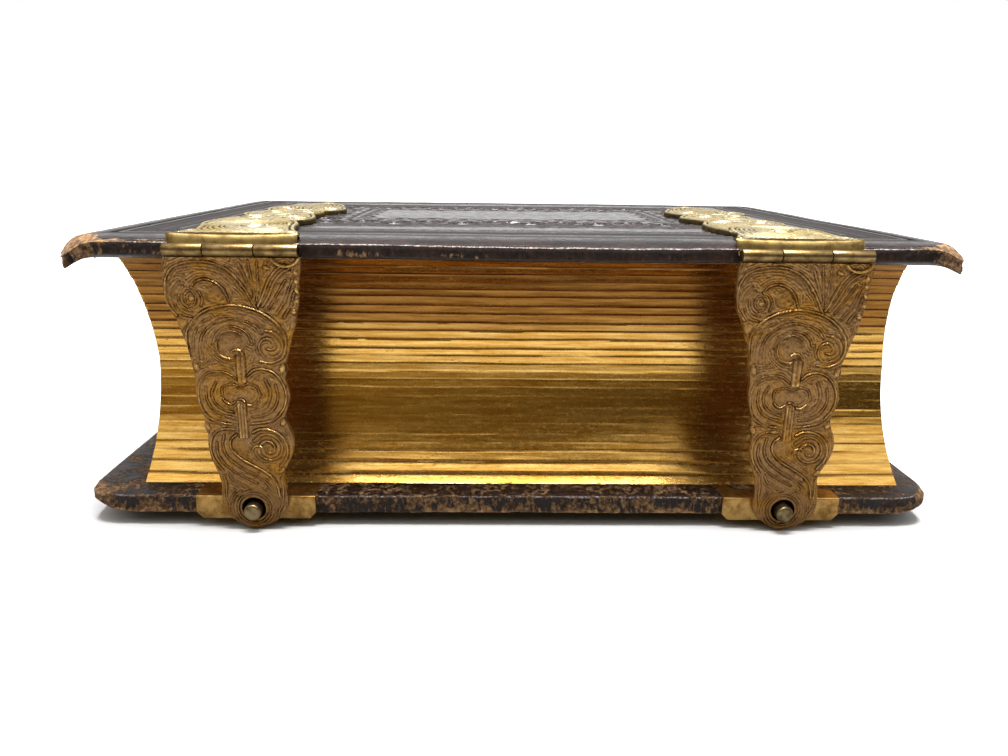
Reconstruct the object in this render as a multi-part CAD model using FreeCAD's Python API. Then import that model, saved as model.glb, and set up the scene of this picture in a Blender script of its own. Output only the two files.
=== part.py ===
import FreeCAD, Part
import math
import os

# A leather-bound card album, lying on its back cover, closed by two brass clasps.
# X runs along the fore edge, Y from the fore edge to the spine, Z up. While the pieces are
# made, y = 0 is the fore-edge plane of the covers and z = 0 the underside of the back cover.
# At the end they all move together, so that the origin is under the middle of the whole album.

# ---- driving dimensions, millimetres ----

album_length = 155.0          # covers, along the fore edge
cover_depth = 112.0           # covers, from the fore edge to the back of the joint
cover_thickness = 4.0         # board with its leather and its lining
leather_thickness = 0.8
lining_thickness = 0.5        # pastedown, and the turned-in leather round it
turn_in = 10.0                # leather showing round a pastedown
corner_radius = 5.0           # fore-edge corners of the covers
bevel = 0.9                   # along the outer edges of the covers

leaf_length = 140.5           # leaves, along the fore edge
leaf_shift = 1.3              # the leaves sit a little towards +X
leaf_height = 41.45           # all the leaves together
leaf_gap = 0.1                # between the leaves and each cover
fore_bottom = 5.0             # fore edge of the lowest leaf, behind the covers' edge
fore_middle = 16.7            # deepest point of the hollow fore edge
fore_top = 10.0               # fore edge of the highest leaf
spine_round = 10.5            # how far the spine edge of the leaves bulges
spine_inset = 1.0             # spine edge of the outer leaves, in front of the joint's back
spine_lining_thickness = 0.6
spine_leather_thickness = 1.2
band_width = 1.8              # worked bands at head and tail
band_height = 1.5
band_inset = 1.0              # each end of a band, from the outer leaves

left_hinge_x = -46.9          # middles of the clasp hinges
right_hinge_x = 47.8
hinge_width = 21.9
left_knuckle = 6.5            # outer knuckles, part of the mount
right_knuckle = 7.0
knuckle_gap = 0.15            # beside the arm's knuckle
knuckle_radius = 1.05
pin_radius = 0.5
pin_clearance = 0.05          # arm's knuckle round the pin
pin_seat = 0.02               # mount's knuckles round the pin
pin_drop = 1.95               # pin below the top of the front cover
swing_gap = 0.1               # arm's shoulders below the knuckles

arm_thickness = 1.4           # with its relief
arm_gap = 0.1                 # between a closed arm and its catch
arm_tip_drop = 1.8            # tip of a closed arm, below the underside of the back cover

catch_width = 21.2
catch_shift = 0.65            # catch and stud, from the middle of the hinge
catch_plate = 0.8             # front plate of a catch
flange_thickness = 0.5        # upper flange, let in flush
flange_proud = 0.5            # lower flange, below the leather
flange_let_in = 0.3           # lower flange, into the leather
upper_flange_depth = 9.0
lower_flange_depth = 8.0
catch_chamfer = 1.3           # lower corners of a catch
catch_bend = 0.35             # rounding of its folds

stud_height = 1.85            # middle of a stud, above the underside of the back cover
stud_radius = 1.55
stud_shank = 1.0
stud_proud = 1.2              # beyond the closed arm
stud_round = 0.5
eye_clearance = 0.15          # under the stud, in the arm's hole
eye_play = 0.75               # above the stud, where the arm is pulled open

rivet_radius = 0.8
catch_rivet_spread = 12.0     # between the two rivets of one catch
catch_rivet_y = 5.0
foot_radius = 2.4             # rivet heads that the album's front stands on
foot_height = 1.5
foot_round = 1.0
clench_radius = 1.75          # inner ends of the mounts' rivets
clench_thickness = 0.4

mount_thickness = 1.6         # with its relief
mount_length = 84.0           # on the cover, from its fore edge
strap_thickness = 0.5         # down the fore edge to the knuckles
web_height = 1.4              # between strap and knuckles
mount_rivet_shares = [0.1, 0.38, 0.72]   # of the mount's length

# Half outlines from the hinge to the tip: distance to the side, share of the length.
arm_right = [(11.6, 0.0), (10.9, 0.08), (10.5, 0.18), (8.8, 0.305), (7.6, 0.423), (8.2, 0.495),
             (7.2, 0.57), (8.4, 0.663), (6.2, 0.808), (6.8, 0.875), (5.2, 0.956)]
arm_left = [(11.0, 0.0), (11.5, 0.125), (9.8, 0.215), (8.0, 0.35), (7.7, 0.46), (6.7, 0.585),
            (6.4, 0.7), (5.1, 0.78), (4.7, 0.843), (5.0, 0.9), (3.9, 0.96)]
arm_tip_x = 0.7
mount_right = [(10.9, 0.0), (10.2, 0.05), (7.0, 0.19), (5.6, 0.285), (6.8, 0.35), (5.2, 0.49),
               (8.0, 0.67), (7.2, 0.79), (4.2, 0.91)]
mount_left = [(10.9, 0.0), (10.6, 0.06), (8.7, 0.17), (6.8, 0.285), (9.2, 0.35), (7.2, 0.49),
              (9.0, 0.67), (8.3, 0.78), (5.2, 0.91)]
mount_tip_x = 0.0

# ---- values worked out from them ----

joint_radius = cover_thickness / 2
joint_y = cover_depth - joint_radius
total_height = 2 * cover_thickness + leaf_height + 2 * leaf_gap
leaf_bottom = cover_thickness + leaf_gap
leaf_top = leaf_bottom + leaf_height
leaf_middle = (leaf_bottom + leaf_top) / 2
leaf_left = leaf_shift - leaf_length / 2
leaf_right = leaf_shift + leaf_length / 2
spine_shoulder = cover_depth - spine_inset
spine_radius = (leaf_height ** 2 / 4 + spine_round ** 2) / (2 * spine_round)
spine_centre = spine_shoulder + spine_round - spine_radius

arm_back = -catch_plate - arm_gap
arm_front = arm_back - arm_thickness
pin_y = (arm_back + arm_front) / 2
pin_z = total_height - pin_drop
arm_top = pin_z - knuckle_radius - swing_gap
eye_radius = stud_radius + (eye_clearance + eye_play) / 2
eye_height = stud_height + (eye_play - eye_clearance) / 2

lowest = -flange_proud - foot_height
foremost = arm_front - stud_proud
rearmost = spine_centre + spine_radius + spine_lining_thickness + spine_leather_thickness
to_origin = FreeCAD.Vector(0, -(foremost + rearmost) / 2, -lowest)


def box(x, y, z):
    """Block between the pairs of limits x, y and z."""
    corner = FreeCAD.Vector(x[0], y[0], z[0])
    return Part.makeBox(x[1] - x[0], y[1] - y[0], z[1] - z[0], corner)


def rod(start, direction, length, radius):
    return Part.makeCylinder(radius, length, FreeCAD.Vector(*start), FreeCAD.Vector(*direction))


def edges_where(shape, test):
    """Edges whose two ends and middle all pass the test."""
    chosen = []
    for edge in shape.Edges:
        middle = edge.valueAt((edge.FirstParameter + edge.LastParameter) / 2)
        points = [vertex.Point for vertex in edge.Vertexes] + [middle]
        if all(test(point) for point in points):
            chosen.append(edge)
    return chosen


def close_to(a, b):
    return abs(a - b) < 1e-4


# ---- covers ----

def slab(inset, z, joint_end, cut):
    """Cover-shaped slab with rounded fore-edge corners and a bevelled lower edge."""
    half = album_length / 2 - inset
    shape = box((-half, half), (inset, joint_end), z)
    upright = edges_where(shape, lambda p: close_to(abs(p.x), half) and close_to(p.y, inset))
    shape = shape.makeFillet(corner_radius - inset, upright)
    lower = edges_where(shape, lambda p: close_to(p.z, z[0]) and p.y < joint_end - bevel)
    sides = edges_where(shape, lambda p: close_to(p.z, z[0]) and close_to(abs(p.x), half))
    return shape.makeChamfer(cut, lower + sides)


def cover_board():
    z = (leather_thickness, cover_thickness - lining_thickness)
    return slab(leather_thickness, z, joint_y, bevel)


def cover_pastedown():
    half = album_length / 2 - turn_in
    z = (cover_thickness - lining_thickness, cover_thickness)
    return box((-half, half), (turn_in, joint_y - lining_thickness), z)


def cover_leather():
    """Leather round a board, rolled at the joint, with a turned-in rim round the pastedown."""
    outside = slab(0, (0, cover_thickness), joint_y, bevel)
    half = album_length / 2 - bevel
    roll = rod((-half, joint_y, joint_radius), (1, 0, 0), 2 * half, joint_radius)
    return outside.fuse(roll).removeSplitter().cut([cover_board(), cover_pastedown()])


def turned_over(shape):
    """The same piece of the front cover."""
    turned = shape.copy()
    turned.rotate(FreeCAD.Vector(0, 0, total_height / 2), FreeCAD.Vector(0, 1, 0), 180)
    return turned


# ---- leaves and spine ----

def round_point(radius, z):
    """Point of the spine's round at height z, on a circle of the given radius."""
    reach = math.sqrt(radius ** 2 - (z - leaf_middle) ** 2)
    return FreeCAD.Vector(0, spine_centre + reach, z)


def round_arc(radius, low, high):
    middle = FreeCAD.Vector(0, spine_centre + radius, leaf_middle)
    return Part.Arc(round_point(radius, low), middle, round_point(radius, high)).toShape()


def drawn_along(edges, x):
    """Prism along X, with the closed outline that the edges make."""
    face = Part.Face(Part.Wire(Part.__sortEdges__(edges)))
    face.translate(FreeCAD.Vector(x[0], 0, 0))
    return face.extrude(FreeCAD.Vector(x[1] - x[0], 0, 0))


def leaf_block():
    low = FreeCAD.Vector(0, fore_bottom, leaf_bottom)
    deep = FreeCAD.Vector(0, fore_middle, leaf_middle)
    high = FreeCAD.Vector(0, fore_top, leaf_top)
    edges = [Part.Arc(low, deep, high).toShape(),
             Part.makeLine(high, round_point(spine_radius, leaf_top)),
             round_arc(spine_radius, leaf_bottom, leaf_top),
             Part.makeLine(low, round_point(spine_radius, leaf_bottom))]
    return drawn_along(edges, (leaf_left, leaf_right))


def round_layer(inner, thickness, x, inset=0.0):
    """Layer that follows the round of the spine."""
    low = leaf_bottom + inset
    high = leaf_top - inset
    outer = inner + thickness
    edges = [round_arc(inner, low, high),
             round_arc(outer, low, high),
             Part.makeLine(round_point(inner, low), round_point(outer, low)),
             Part.makeLine(round_point(inner, high), round_point(outer, high))]
    return drawn_along(edges, x)


def spine_lining():
    return round_layer(spine_radius, spine_lining_thickness, (leaf_left, leaf_right))


def spine_leather():
    half = album_length / 2 - bevel
    return round_layer(spine_radius + spine_lining_thickness, spine_leather_thickness, (-half, half))


def end_band(x):
    return round_layer(spine_radius - band_width, band_width, x, band_inset)


# ---- clasps ----

def lobed_outline(right, left, tip, place):
    """Outline with rounded lobes through both half outlines and the tip, straight at the hinge."""
    points = [place(side, share) for side, share in right]
    points.append(place(tip, 1.0))
    points += [place(-side, share) for side, share in reversed(left)]
    curve = Part.BSplineCurve()
    curve.interpolate(points)
    wire = Part.Wire([curve.toShape(), Part.makeLine(points[-1], points[0])])
    return Part.Face(wire)


def knuckle(hinge_x, start, length, bore):
    """Barrel on the pin's line, from start to start + length beside the middle of the hinge."""
    barrel = rod((hinge_x + start, pin_y, pin_z), (1, 0, 0), length, knuckle_radius)
    return barrel, rod((hinge_x + start, pin_y, pin_z), (1, 0, 0), length, bore)


def arm_knuckle_limits():
    start = -hinge_width / 2 + left_knuckle + knuckle_gap
    end = hinge_width / 2 - right_knuckle - knuckle_gap
    return start, end


def clasp_arm(hinge_x):
    def place(side, share):
        z = arm_top - share * (arm_top + arm_tip_drop)
        return FreeCAD.Vector(hinge_x + side, arm_back, z)
    outline = lobed_outline(arm_right, arm_left, arm_tip_x, place)
    plate = outline.extrude(FreeCAD.Vector(0, -arm_thickness, 0))
    start, end = arm_knuckle_limits()
    barrel, bore = knuckle(hinge_x, start, end - start, pin_radius + pin_clearance)
    tongue = box((hinge_x + start, hinge_x + end), (arm_front, arm_back),
                 (arm_top - knuckle_radius, pin_z))
    stud_x = hinge_x + catch_shift
    eye = rod((stud_x, arm_back, eye_height), (0, -1, 0), arm_thickness, eye_radius)
    return plate.fuse([tongue, barrel]).cut([bore, eye])


def hinge_pin(hinge_x):
    return rod((hinge_x - hinge_width / 2, pin_y, pin_z), (1, 0, 0), hinge_width, pin_radius)


def mount_plate(hinge_x):
    def place(side, share):
        return FreeCAD.Vector(hinge_x + side, share * mount_length, total_height)
    outline = lobed_outline(mount_right, mount_left, mount_tip_x, place)
    return outline.extrude(FreeCAD.Vector(0, 0, mount_thickness))


def mount(hinge_x):
    """Plate on the cover, strap down its fore edge, and the two outer knuckles."""
    half = hinge_width / 2
    strap = box((hinge_x - half, hinge_x + half), (-strap_thickness, 0),
                (pin_z - web_height / 2, total_height + mount_thickness))
    pieces = [strap]
    bores = []
    for start, length in ((-half, left_knuckle), (half - right_knuckle, right_knuckle)):
        barrel, bore = knuckle(hinge_x, start, length, pin_radius + pin_seat)
        web = box((hinge_x + start, hinge_x + start + length), (pin_y, -strap_thickness / 2),
                  (pin_z - web_height / 2, pin_z + web_height / 2))
        pieces += [barrel, web]
        bores.append(bore)
    return mount_plate(hinge_x).fuse(pieces).cut(bores + mount_rivets(hinge_x))


def mount_rivets(hinge_x):
    rivets = []
    inner_end = total_height - cover_thickness + lining_thickness
    length = total_height + mount_thickness - inner_end
    for share in mount_rivet_shares:
        foot = (hinge_x, share * mount_length, inner_end)
        shank = rod(foot, (0, 0, 1), length, rivet_radius)
        clench = rod(foot, (0, 0, 1), clench_thickness, clench_radius)
        rivets.append(shank.fuse(clench))
    return rivets


def catch_blank(hinge_x):
    """Plate folded over the fore edge of the back cover."""
    middle = hinge_x + catch_shift
    x = (middle - catch_width / 2, middle + catch_width / 2)
    front = box(x, (-catch_plate, 0), (-flange_proud, cover_thickness))
    upper = box(x, (-catch_plate, upper_flange_depth),
                (cover_thickness - flange_thickness, cover_thickness))
    lower = box(x, (-catch_plate, lower_flange_depth), (-flange_proud, flange_let_in))
    folded = front.fuse([upper, lower]).removeSplitter()
    folds = edges_where(folded, lambda p: close_to(p.y, -catch_plate)
                        and (close_to(p.z, -flange_proud) or close_to(p.z, cover_thickness)))
    folded = folded.makeFillet(catch_bend, folds)
    corners = []
    for side in (-1, 1):
        tip = FreeCAD.Vector(middle + side * catch_width / 2, -catch_plate, -flange_proud)
        along = tip + FreeCAD.Vector(-side * catch_chamfer, 0, 0)
        up = tip + FreeCAD.Vector(0, 0, catch_chamfer)
        corner = Part.Face(Part.makePolygon([tip, along, up, tip]))
        corners.append(corner.extrude(FreeCAD.Vector(0, catch_plate + lower_flange_depth, 0)))
    return folded.cut(corners)


def stud(hinge_x):
    x = hinge_x + catch_shift
    length = -foremost - catch_plate
    head = rod((x, -catch_plate, stud_height), (0, -1, 0), length, stud_radius)
    rim = edges_where(head, lambda p: close_to(p.y, foremost))
    head = head.makeFillet(stud_round, rim)
    return head.fuse(rod((x, 0, stud_height), (0, -1, 0), catch_plate, stud_shank))


def catch_rivets(hinge_x):
    rivets = []
    for side in (-1, 1):
        x = hinge_x + catch_shift + side * catch_rivet_spread / 2
        shank = rod((x, catch_rivet_y, -flange_proud), (0, 0, 1), flange_proud + cover_thickness,
                    rivet_radius)
        head = rod((x, catch_rivet_y, lowest), (0, 0, 1), foot_height, foot_radius)
        rim = edges_where(head, lambda p: close_to(p.z, lowest))
        rivets.append(head.makeFillet(foot_round, rim).fuse(shank))
    return rivets


def catch(hinge_x):
    return catch_blank(hinge_x).cut([stud(hinge_x)] + catch_rivets(hinge_x))


# ---- the whole album ----

def back_cover_pieces():
    hinges = (left_hinge_x, right_hinge_x)
    rivets = catch_rivets(left_hinge_x) + catch_rivets(right_hinge_x)
    fittings = [catch_blank(x) for x in hinges] + rivets
    return {"back_board": cover_board().cut(fittings),
            "back_leather": cover_leather().cut(fittings),
            "back_pastedown": cover_pastedown().cut(fittings),
            "left_catch": catch(left_hinge_x),
            "right_catch": catch(right_hinge_x),
            "left_stud": stud(left_hinge_x),
            "right_stud": stud(right_hinge_x),
            "catch_rivets": Part.makeCompound(rivets)}


def block_pieces():
    return {"leaf_block": leaf_block(),
            "spine_lining": spine_lining(),
            "spine_leather": spine_leather(),
            "tail_band": end_band((leaf_left - band_height, leaf_left)),
            "head_band": end_band((leaf_right, leaf_right + band_height))}


def front_cover_pieces():
    rivets = mount_rivets(left_hinge_x) + mount_rivets(right_hinge_x)
    return {"front_board": turned_over(cover_board()).cut(rivets),
            "front_leather": turned_over(cover_leather()).cut(rivets),
            "front_pastedown": turned_over(cover_pastedown()),
            "left_mount": mount(left_hinge_x),
            "right_mount": mount(right_hinge_x),
            "mount_rivets": Part.makeCompound(rivets),
            "left_hinge_pin": hinge_pin(left_hinge_x),
            "right_hinge_pin": hinge_pin(right_hinge_x)}


def clasp_pieces():
    return {"left_clasp_arm": clasp_arm(left_hinge_x),
            "right_clasp_arm": clasp_arm(right_hinge_x)}


def main():
    os.makedirs("parts", exist_ok=True)
    pieces = {}
    for group in (back_cover_pieces(), block_pieces(), front_cover_pieces(), clasp_pieces()):
        pieces.update(group)
    for name, shape in pieces.items():
        shape.translate(to_origin)
        shape.exportStep(os.path.join("parts", name + ".step"))
        print(name, len(shape.Solids), "solids", round(shape.Volume, 1), "mm3", shape.isValid())
    for name, y, z in (("back joint", joint_y, joint_radius),
                       ("front joint", joint_y, total_height - joint_radius),
                       ("clasp pins", pin_y, pin_z)):
        print(name, "at y", round(y + to_origin.y, 3), "z", round(z + to_origin.z, 3))


main()
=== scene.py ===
import bpy
import math
import numpy as np
from mathutils import Matrix, Vector


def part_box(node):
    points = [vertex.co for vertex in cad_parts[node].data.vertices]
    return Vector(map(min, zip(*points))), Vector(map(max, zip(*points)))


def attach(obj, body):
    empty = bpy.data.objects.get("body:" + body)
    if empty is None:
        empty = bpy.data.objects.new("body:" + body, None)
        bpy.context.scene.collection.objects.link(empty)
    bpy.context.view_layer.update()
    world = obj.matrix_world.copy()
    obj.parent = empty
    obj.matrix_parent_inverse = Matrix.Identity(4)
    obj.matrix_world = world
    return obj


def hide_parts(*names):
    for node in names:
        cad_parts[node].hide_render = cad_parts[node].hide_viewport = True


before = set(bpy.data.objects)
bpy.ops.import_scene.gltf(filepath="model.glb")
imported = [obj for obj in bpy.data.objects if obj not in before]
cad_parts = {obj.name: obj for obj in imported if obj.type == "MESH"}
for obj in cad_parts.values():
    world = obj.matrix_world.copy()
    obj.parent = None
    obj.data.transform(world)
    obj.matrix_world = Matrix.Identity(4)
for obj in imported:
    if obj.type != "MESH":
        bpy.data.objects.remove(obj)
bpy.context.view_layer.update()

mm = 0.001
coverLow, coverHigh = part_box("back_leather")
topLow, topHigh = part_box("front_leather")
albumOrigin = np.array([0.0, coverLow.y, coverLow.z])   # fore edge of the covers, underside of the back one
coverHalf = coverHigh.x / mm
coverDepth = (coverHigh.y - coverLow.y) / mm
albumHeight = (topHigh.z - coverLow.z) / mm


def toFrame(places):   # album millimetres into the frame's metres
    return np.asarray(places, float) * mm + albumOrigin


def fromFrame(corner):   # the other way
    return (np.array(corner) - albumOrigin) / mm


def centreOf(node):
    low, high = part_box(node)
    return fromFrame((low + high) / 2)


def deselect():
    if bpy.context.object and bpy.context.object.mode != "OBJECT":
        bpy.ops.object.mode_set(mode="OBJECT")
    bpy.ops.object.select_all(action="DESELECT")


def takeUp(piece):   # the only selected and active piece
    deselect()
    piece.select_set(True)
    bpy.context.view_layer.objects.active = piece
    return piece


def named(name):
    piece = bpy.context.active_object
    piece.name = name
    piece.data.name = name
    return piece


def readPlaces(piece):   # vertices in album millimetres
    flat = np.zeros(len(piece.data.vertices) * 3, np.float32)
    piece.data.vertices.foreach_get("co", flat)
    return (flat.reshape(-1, 3).astype(float) - albumOrigin) / mm


def writePlaces(piece, places):
    piece.data.vertices.foreach_set("co", toFrame(places.reshape(-1, 3)).astype(np.float32).ravel())
    piece.data.update()


def writeField(piece, name, values):   # a number on each vertex, for the finishes
    field = piece.data.attributes.get(name) or piece.data.attributes.new(name, "FLOAT", "POINT")
    field.data.foreach_set("value", np.asarray(values, np.float32).ravel())


def gridPiece(name, places, fields=None):   # a grid whose vertices go to places[row, column]
    deselect()
    rows, columns = places.shape[:2]
    bpy.ops.mesh.primitive_grid_add(x_subdivisions=columns - 1, y_subdivisions=rows - 1, size=0.1)
    piece = named(name)
    writePlaces(piece, places)
    for field, values in (fields or {}).items():
        writeField(piece, field, values)
    return piece


def closeUp(piece, merge=0.004, fill=True):   # seams merged, openings filled, faces outwards
    takeUp(piece)
    bpy.ops.object.mode_set(mode="EDIT")
    bpy.ops.mesh.select_all(action="SELECT")
    bpy.ops.mesh.remove_doubles(threshold=merge * mm)
    if fill:
        bpy.ops.mesh.fill_holes(sides=0)
    bpy.ops.mesh.select_all(action="SELECT")
    bpy.ops.mesh.normals_make_consistent(inside=False)
    bpy.ops.object.mode_set(mode="OBJECT")
    return piece


def joined(pieces, name):
    takeUp(pieces[0])
    for piece in pieces[1:]:
        piece.select_set(True)
    bpy.ops.object.join()
    return named(name)


def smoothed(piece, angle):
    takeUp(piece)
    bpy.ops.object.shade_smooth_by_angle(angle=math.radians(angle))
    return piece


def applied(piece, kind, **settings):
    takeUp(piece)
    modifier = piece.modifiers.new(kind.title(), kind)
    for key, value in settings.items():
        setattr(modifier, key, value)
    bpy.ops.object.modifier_apply(modifier=modifier.name)
    return piece


def seated(piece):   # place, turn and scale go into the mesh
    takeUp(piece)
    bpy.ops.object.transform_apply(location=True, rotation=True, scale=True)
    return piece


def copied(piece, name, shift):   # own mesh, moved by millimetres
    takeUp(piece)
    bpy.ops.object.duplicate()
    twin = named(name)
    twin.location = Vector(shift) * mm
    return seated(twin)


def barrel(name, start, end, y, z, radius, sides=32, rim=0.12):   # rod along x with softened rims
    deselect()
    bpy.ops.mesh.primitive_cylinder_add(vertices=sides, radius=radius * mm, depth=(end - start) * mm,
                                        location=toFrame(((start + end) / 2, y, z)),
                                        rotation=(0, math.pi / 2, 0))
    piece = seated(named(name))
    return applied(piece, "BEVEL", width=rim * mm, segments=2, limit_method="ANGLE",
                   angle_limit=math.radians(60))


def step(low, high, value):   # smooth 0…1 ramp
    t = np.clip((value - low) / (high - low), 0, 1)
    return t * t * (3 - 2 * t)


def cloud(x, y, seed, size=64):   # smooth random field, about -1…1
    dice = np.random.default_rng(seed).uniform(-1, 1, (size, size))
    x, y = np.broadcast_arrays(x, y)
    left, low = np.floor(x).astype(int), np.floor(y).astype(int)
    u, v = step(0, 1, x - left), step(0, 1, y - low)
    left, right, low, high = left % size, (left + 1) % size, low % size, (low + 1) % size
    a, b, c, d = dice[low, left], dice[low, right], dice[high, left], dice[high, right]
    return (a * (1 - u) + b * u) * (1 - v) + (c * (1 - u) + d * u) * v


def clouds(x, y, seed, steps=3):
    return sum(cloud(x * 2 ** k, y * 2 ** k, seed + k) / 2 ** k for k in range(steps)) / 1.5


def circleThrough(a, b, c):   # centre and radius, points as (y, z)
    (ay, az), (by, bz), (cy, cz) = a, b, c
    d = 2 * (ay * (bz - cz) + by * (cz - az) + cy * (az - bz))
    a2, b2, c2 = ay ** 2 + az ** 2, by ** 2 + bz ** 2, cy ** 2 + cz ** 2
    y = (a2 * (bz - cz) + b2 * (cz - az) + c2 * (az - bz)) / d
    z = (a2 * (cy - by) + b2 * (ay - cy) + c2 * (by - ay)) / d
    return y, z, math.hypot(ay - y, az - z)


def curveThrough(points, spacing, closed=False):   # smooth line through a few points
    points = np.array(points, float)
    if closed:
        points = np.vstack([points[-1], points, points[:2]])
    else:
        points = np.vstack([2 * points[0] - points[1], points, 2 * points[-1] - points[-2]])
    line = []
    for a, b, c, d in zip(points[:-3], points[1:-2], points[2:-1], points[3:]):
        count = max(2, int(np.hypot(*(c - b)) / spacing))
        for t in np.arange(count) / count:
            line.append(0.5 * (2 * b + (c - a) * t + (2 * a - 5 * b + 4 * c - d) * t * t
                               + (3 * b - a - 3 * c + d) * t ** 3))
    line.append(points[-2])
    return np.array(line)


print("frame loaded")


def tone(red, green, blue):   # screen colour to the shader's linear one
    linear = [c / 12.92 if c <= 0.04045 else ((c + 0.055) / 1.055) ** 2.4
              for c in (red / 255, green / 255, blue / 255)]
    return (*linear, 1.0)


class Nodes:   # one node tree, with short ways to add to it
    def __init__(self, tree, coordinates):
        self.nodes, self.links = tree.nodes, tree.links
        self.place = self.add("TexCoord").outputs[coordinates]

    def put(self, node, inputs):
        for key, value in inputs.items():
            socket = node.inputs[key if isinstance(key, int) else key.replace("_", " ")]
            if isinstance(value, bpy.types.NodeSocket):
                self.links.new(value, socket)
            else:
                socket.default_value = value

    def add(self, kind, inputs=None, **settings):
        node = self.nodes.new("ShaderNode" + kind)
        for key, value in settings.items():
            setattr(node, key, value)
        self.put(node, inputs or {})
        return node

    def stretched(self, x, y, z):   # place with each direction scaled, per metre
        return self.add("Mapping", {"Vector": self.place, "Scale": (x, y, z)}).outputs[0]

    def noise(self, scale, detail=4.0, rough=0.6, place=None):
        return self.add("TexNoise", {"Vector": place or self.place, "Scale": scale, "Detail": detail,
                                     "Roughness": rough}).outputs["Fac"]

    def cells(self, scale):
        return self.add("TexVoronoi", {"Vector": self.place, "Scale": scale}).outputs["Distance"]

    def field(self, name):   # a number written on the vertices, 0 where there is none
        return self.add("Attribute", attribute_name=name).outputs["Fac"]

    def axis(self, index):   # one coordinate of the place
        return self.add("SeparateXYZ", {0: self.place}).outputs[index]

    def distance(self, centre):   # metres from a point
        node = self.add("VectorMath", {0: self.place, 1: tuple(centre)}, operation="DISTANCE")
        return node.outputs["Value"]

    def math(self, operation, a, b=0.0):
        return self.add("Math", {0: a, 1: b}, operation=operation).outputs[0]

    def times(self, a, b):
        return self.math("MULTIPLY", a, b)

    def plus(self, a, b):
        return self.math("ADD", a, b)

    def less(self, a, b):
        return self.math("SUBTRACT", a, b)

    def larger(self, a, b):
        return self.math("MAXIMUM", a, b)

    def swing(self, noise, gain):   # a noise turned about 0 and made stronger
        return self.times(self.less(noise, 0.5), gain)

    def ramp(self, value, low, high, to=(0.0, 1.0)):
        return self.add("MapRange", {"Value": value, "From_Min": low, "From_Max": high,
                                     "To_Min": to[0], "To_Max": to[1]},
                        interpolation_type="SMOOTHSTEP").outputs[0]

    def blend(self, share, a, b):   # between two numbers
        return self.add("Mix", {0: share, 2: a, 3: b}).outputs[0]

    def mix(self, share, a, b):   # between two colours
        return self.add("Mix", {0: share, 6: a, 7: b}, data_type="RGBA").outputs[2]

    def shades(self, value, low, high, dark, light):   # from one screen colour to the other
        return self.mix(self.ramp(value, low, high), tone(*dark), tone(*light))

    def bump(self, height, distance, strength=1.0, below=None):
        inputs = {"Height": height, "Distance": distance * mm, "Strength": strength}
        if below:
            inputs["Normal"] = below
        return self.add("Bump", inputs).outputs[0]


class Finish(Nodes):   # one material
    def __init__(self, name, **shader):
        self.material = bpy.data.materials.new(name)
        self.material.use_nodes = True
        super().__init__(self.material.node_tree, "Object")
        self.shader = self.nodes["Principled BSDF"]
        self.put(self.shader, shader)

    def done(self, **inputs):
        self.put(self.shader, inputs)
        return self.material


# A pale mark on the front cover, in album millimetres.
mark = {"place": (0.2, 37.5, 49.6), "outer": 1.7, "inner": 0.9}


def leatherFinish():
    f = Finish("leather", Specular_IOR_Level=0.46, Coat_Weight=0.05, Coat_Roughness=0.2)
    edge = f.ramp(f.field("under"), 0.16, 0.3)   # the covers' sides and their turned-in leather
    press, hole = f.field("press"), f.field("hole")
    base = f.shades(f.noise(90, 5), 0.35, 0.7, (26, 18, 17), (44, 30, 27))
    pores = f.cells(1300)
    base = f.mix(f.ramp(pores, 0.0, 0.35), tone(16, 11, 11), base)
    base = f.mix(f.times(press, 0.85), base, tone(17, 10, 8))
    streak = f.noise(1100, 6, 0.75, f.stretched(1, 1, 0.35))
    base = f.mix(edge, base, f.shades(streak, 0.38, 0.68, (16, 6, 4), (62, 32, 20)))
    # rubbed ridges: the red-brown under the dye, then pale fibres; the pale line is also a painted highlight
    # along the ridge
    fibre = f.noise(900, 6, 0.75, f.stretched(1, 1, 2.2))
    rub = f.ramp(f.plus(f.field("rub"), f.swing(fibre, 1.6)), 0.45, 0.85)
    base = f.mix(rub, base, f.shades(f.noise(2600, 3), 0.4, 0.62, (86, 62, 52), (190, 178, 170)))
    # scuffed suede: tan with dark islands left
    islands = f.mix(edge, f.noise(420, 6, 0.7), streak)
    scuff = f.ramp(f.plus(f.field("scuff"), f.swing(islands, 2.4)), 0.42, 0.62)
    base = f.mix(scuff, base, f.shades(f.noise(1300, 6, 0.7), 0.36, 0.66, (68, 44, 27), (174, 135, 92)))
    base = f.mix(hole, base, tone(24, 17, 13))
    pale = f.ramp(f.distance(toFrame(mark["place"])), mark["outer"] * mm, mark["inner"] * mm)
    base = f.mix(pale, base, tone(236, 236, 240))
    worn = f.larger(scuff, hole)
    dull = f.larger(worn, f.larger(f.times(press, 0.9), f.times(edge, 0.15)))
    rough = f.blend(dull, f.ramp(f.noise(500, 3), 0.3, 0.7, (0.17, 0.33)), 0.9)
    grain = f.bump(pores, 0.05, 0.7, f.bump(f.noise(1100, 5), 0.07, 0.7))
    grain = f.bump(f.times(streak, edge), 0.3, 0.9, grain)
    grain = f.bump(f.times(fibre, worn), 0.35, 0.8, grain)
    return f.done(Base_Color=base, Roughness=rough, Normal=grain)


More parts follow.
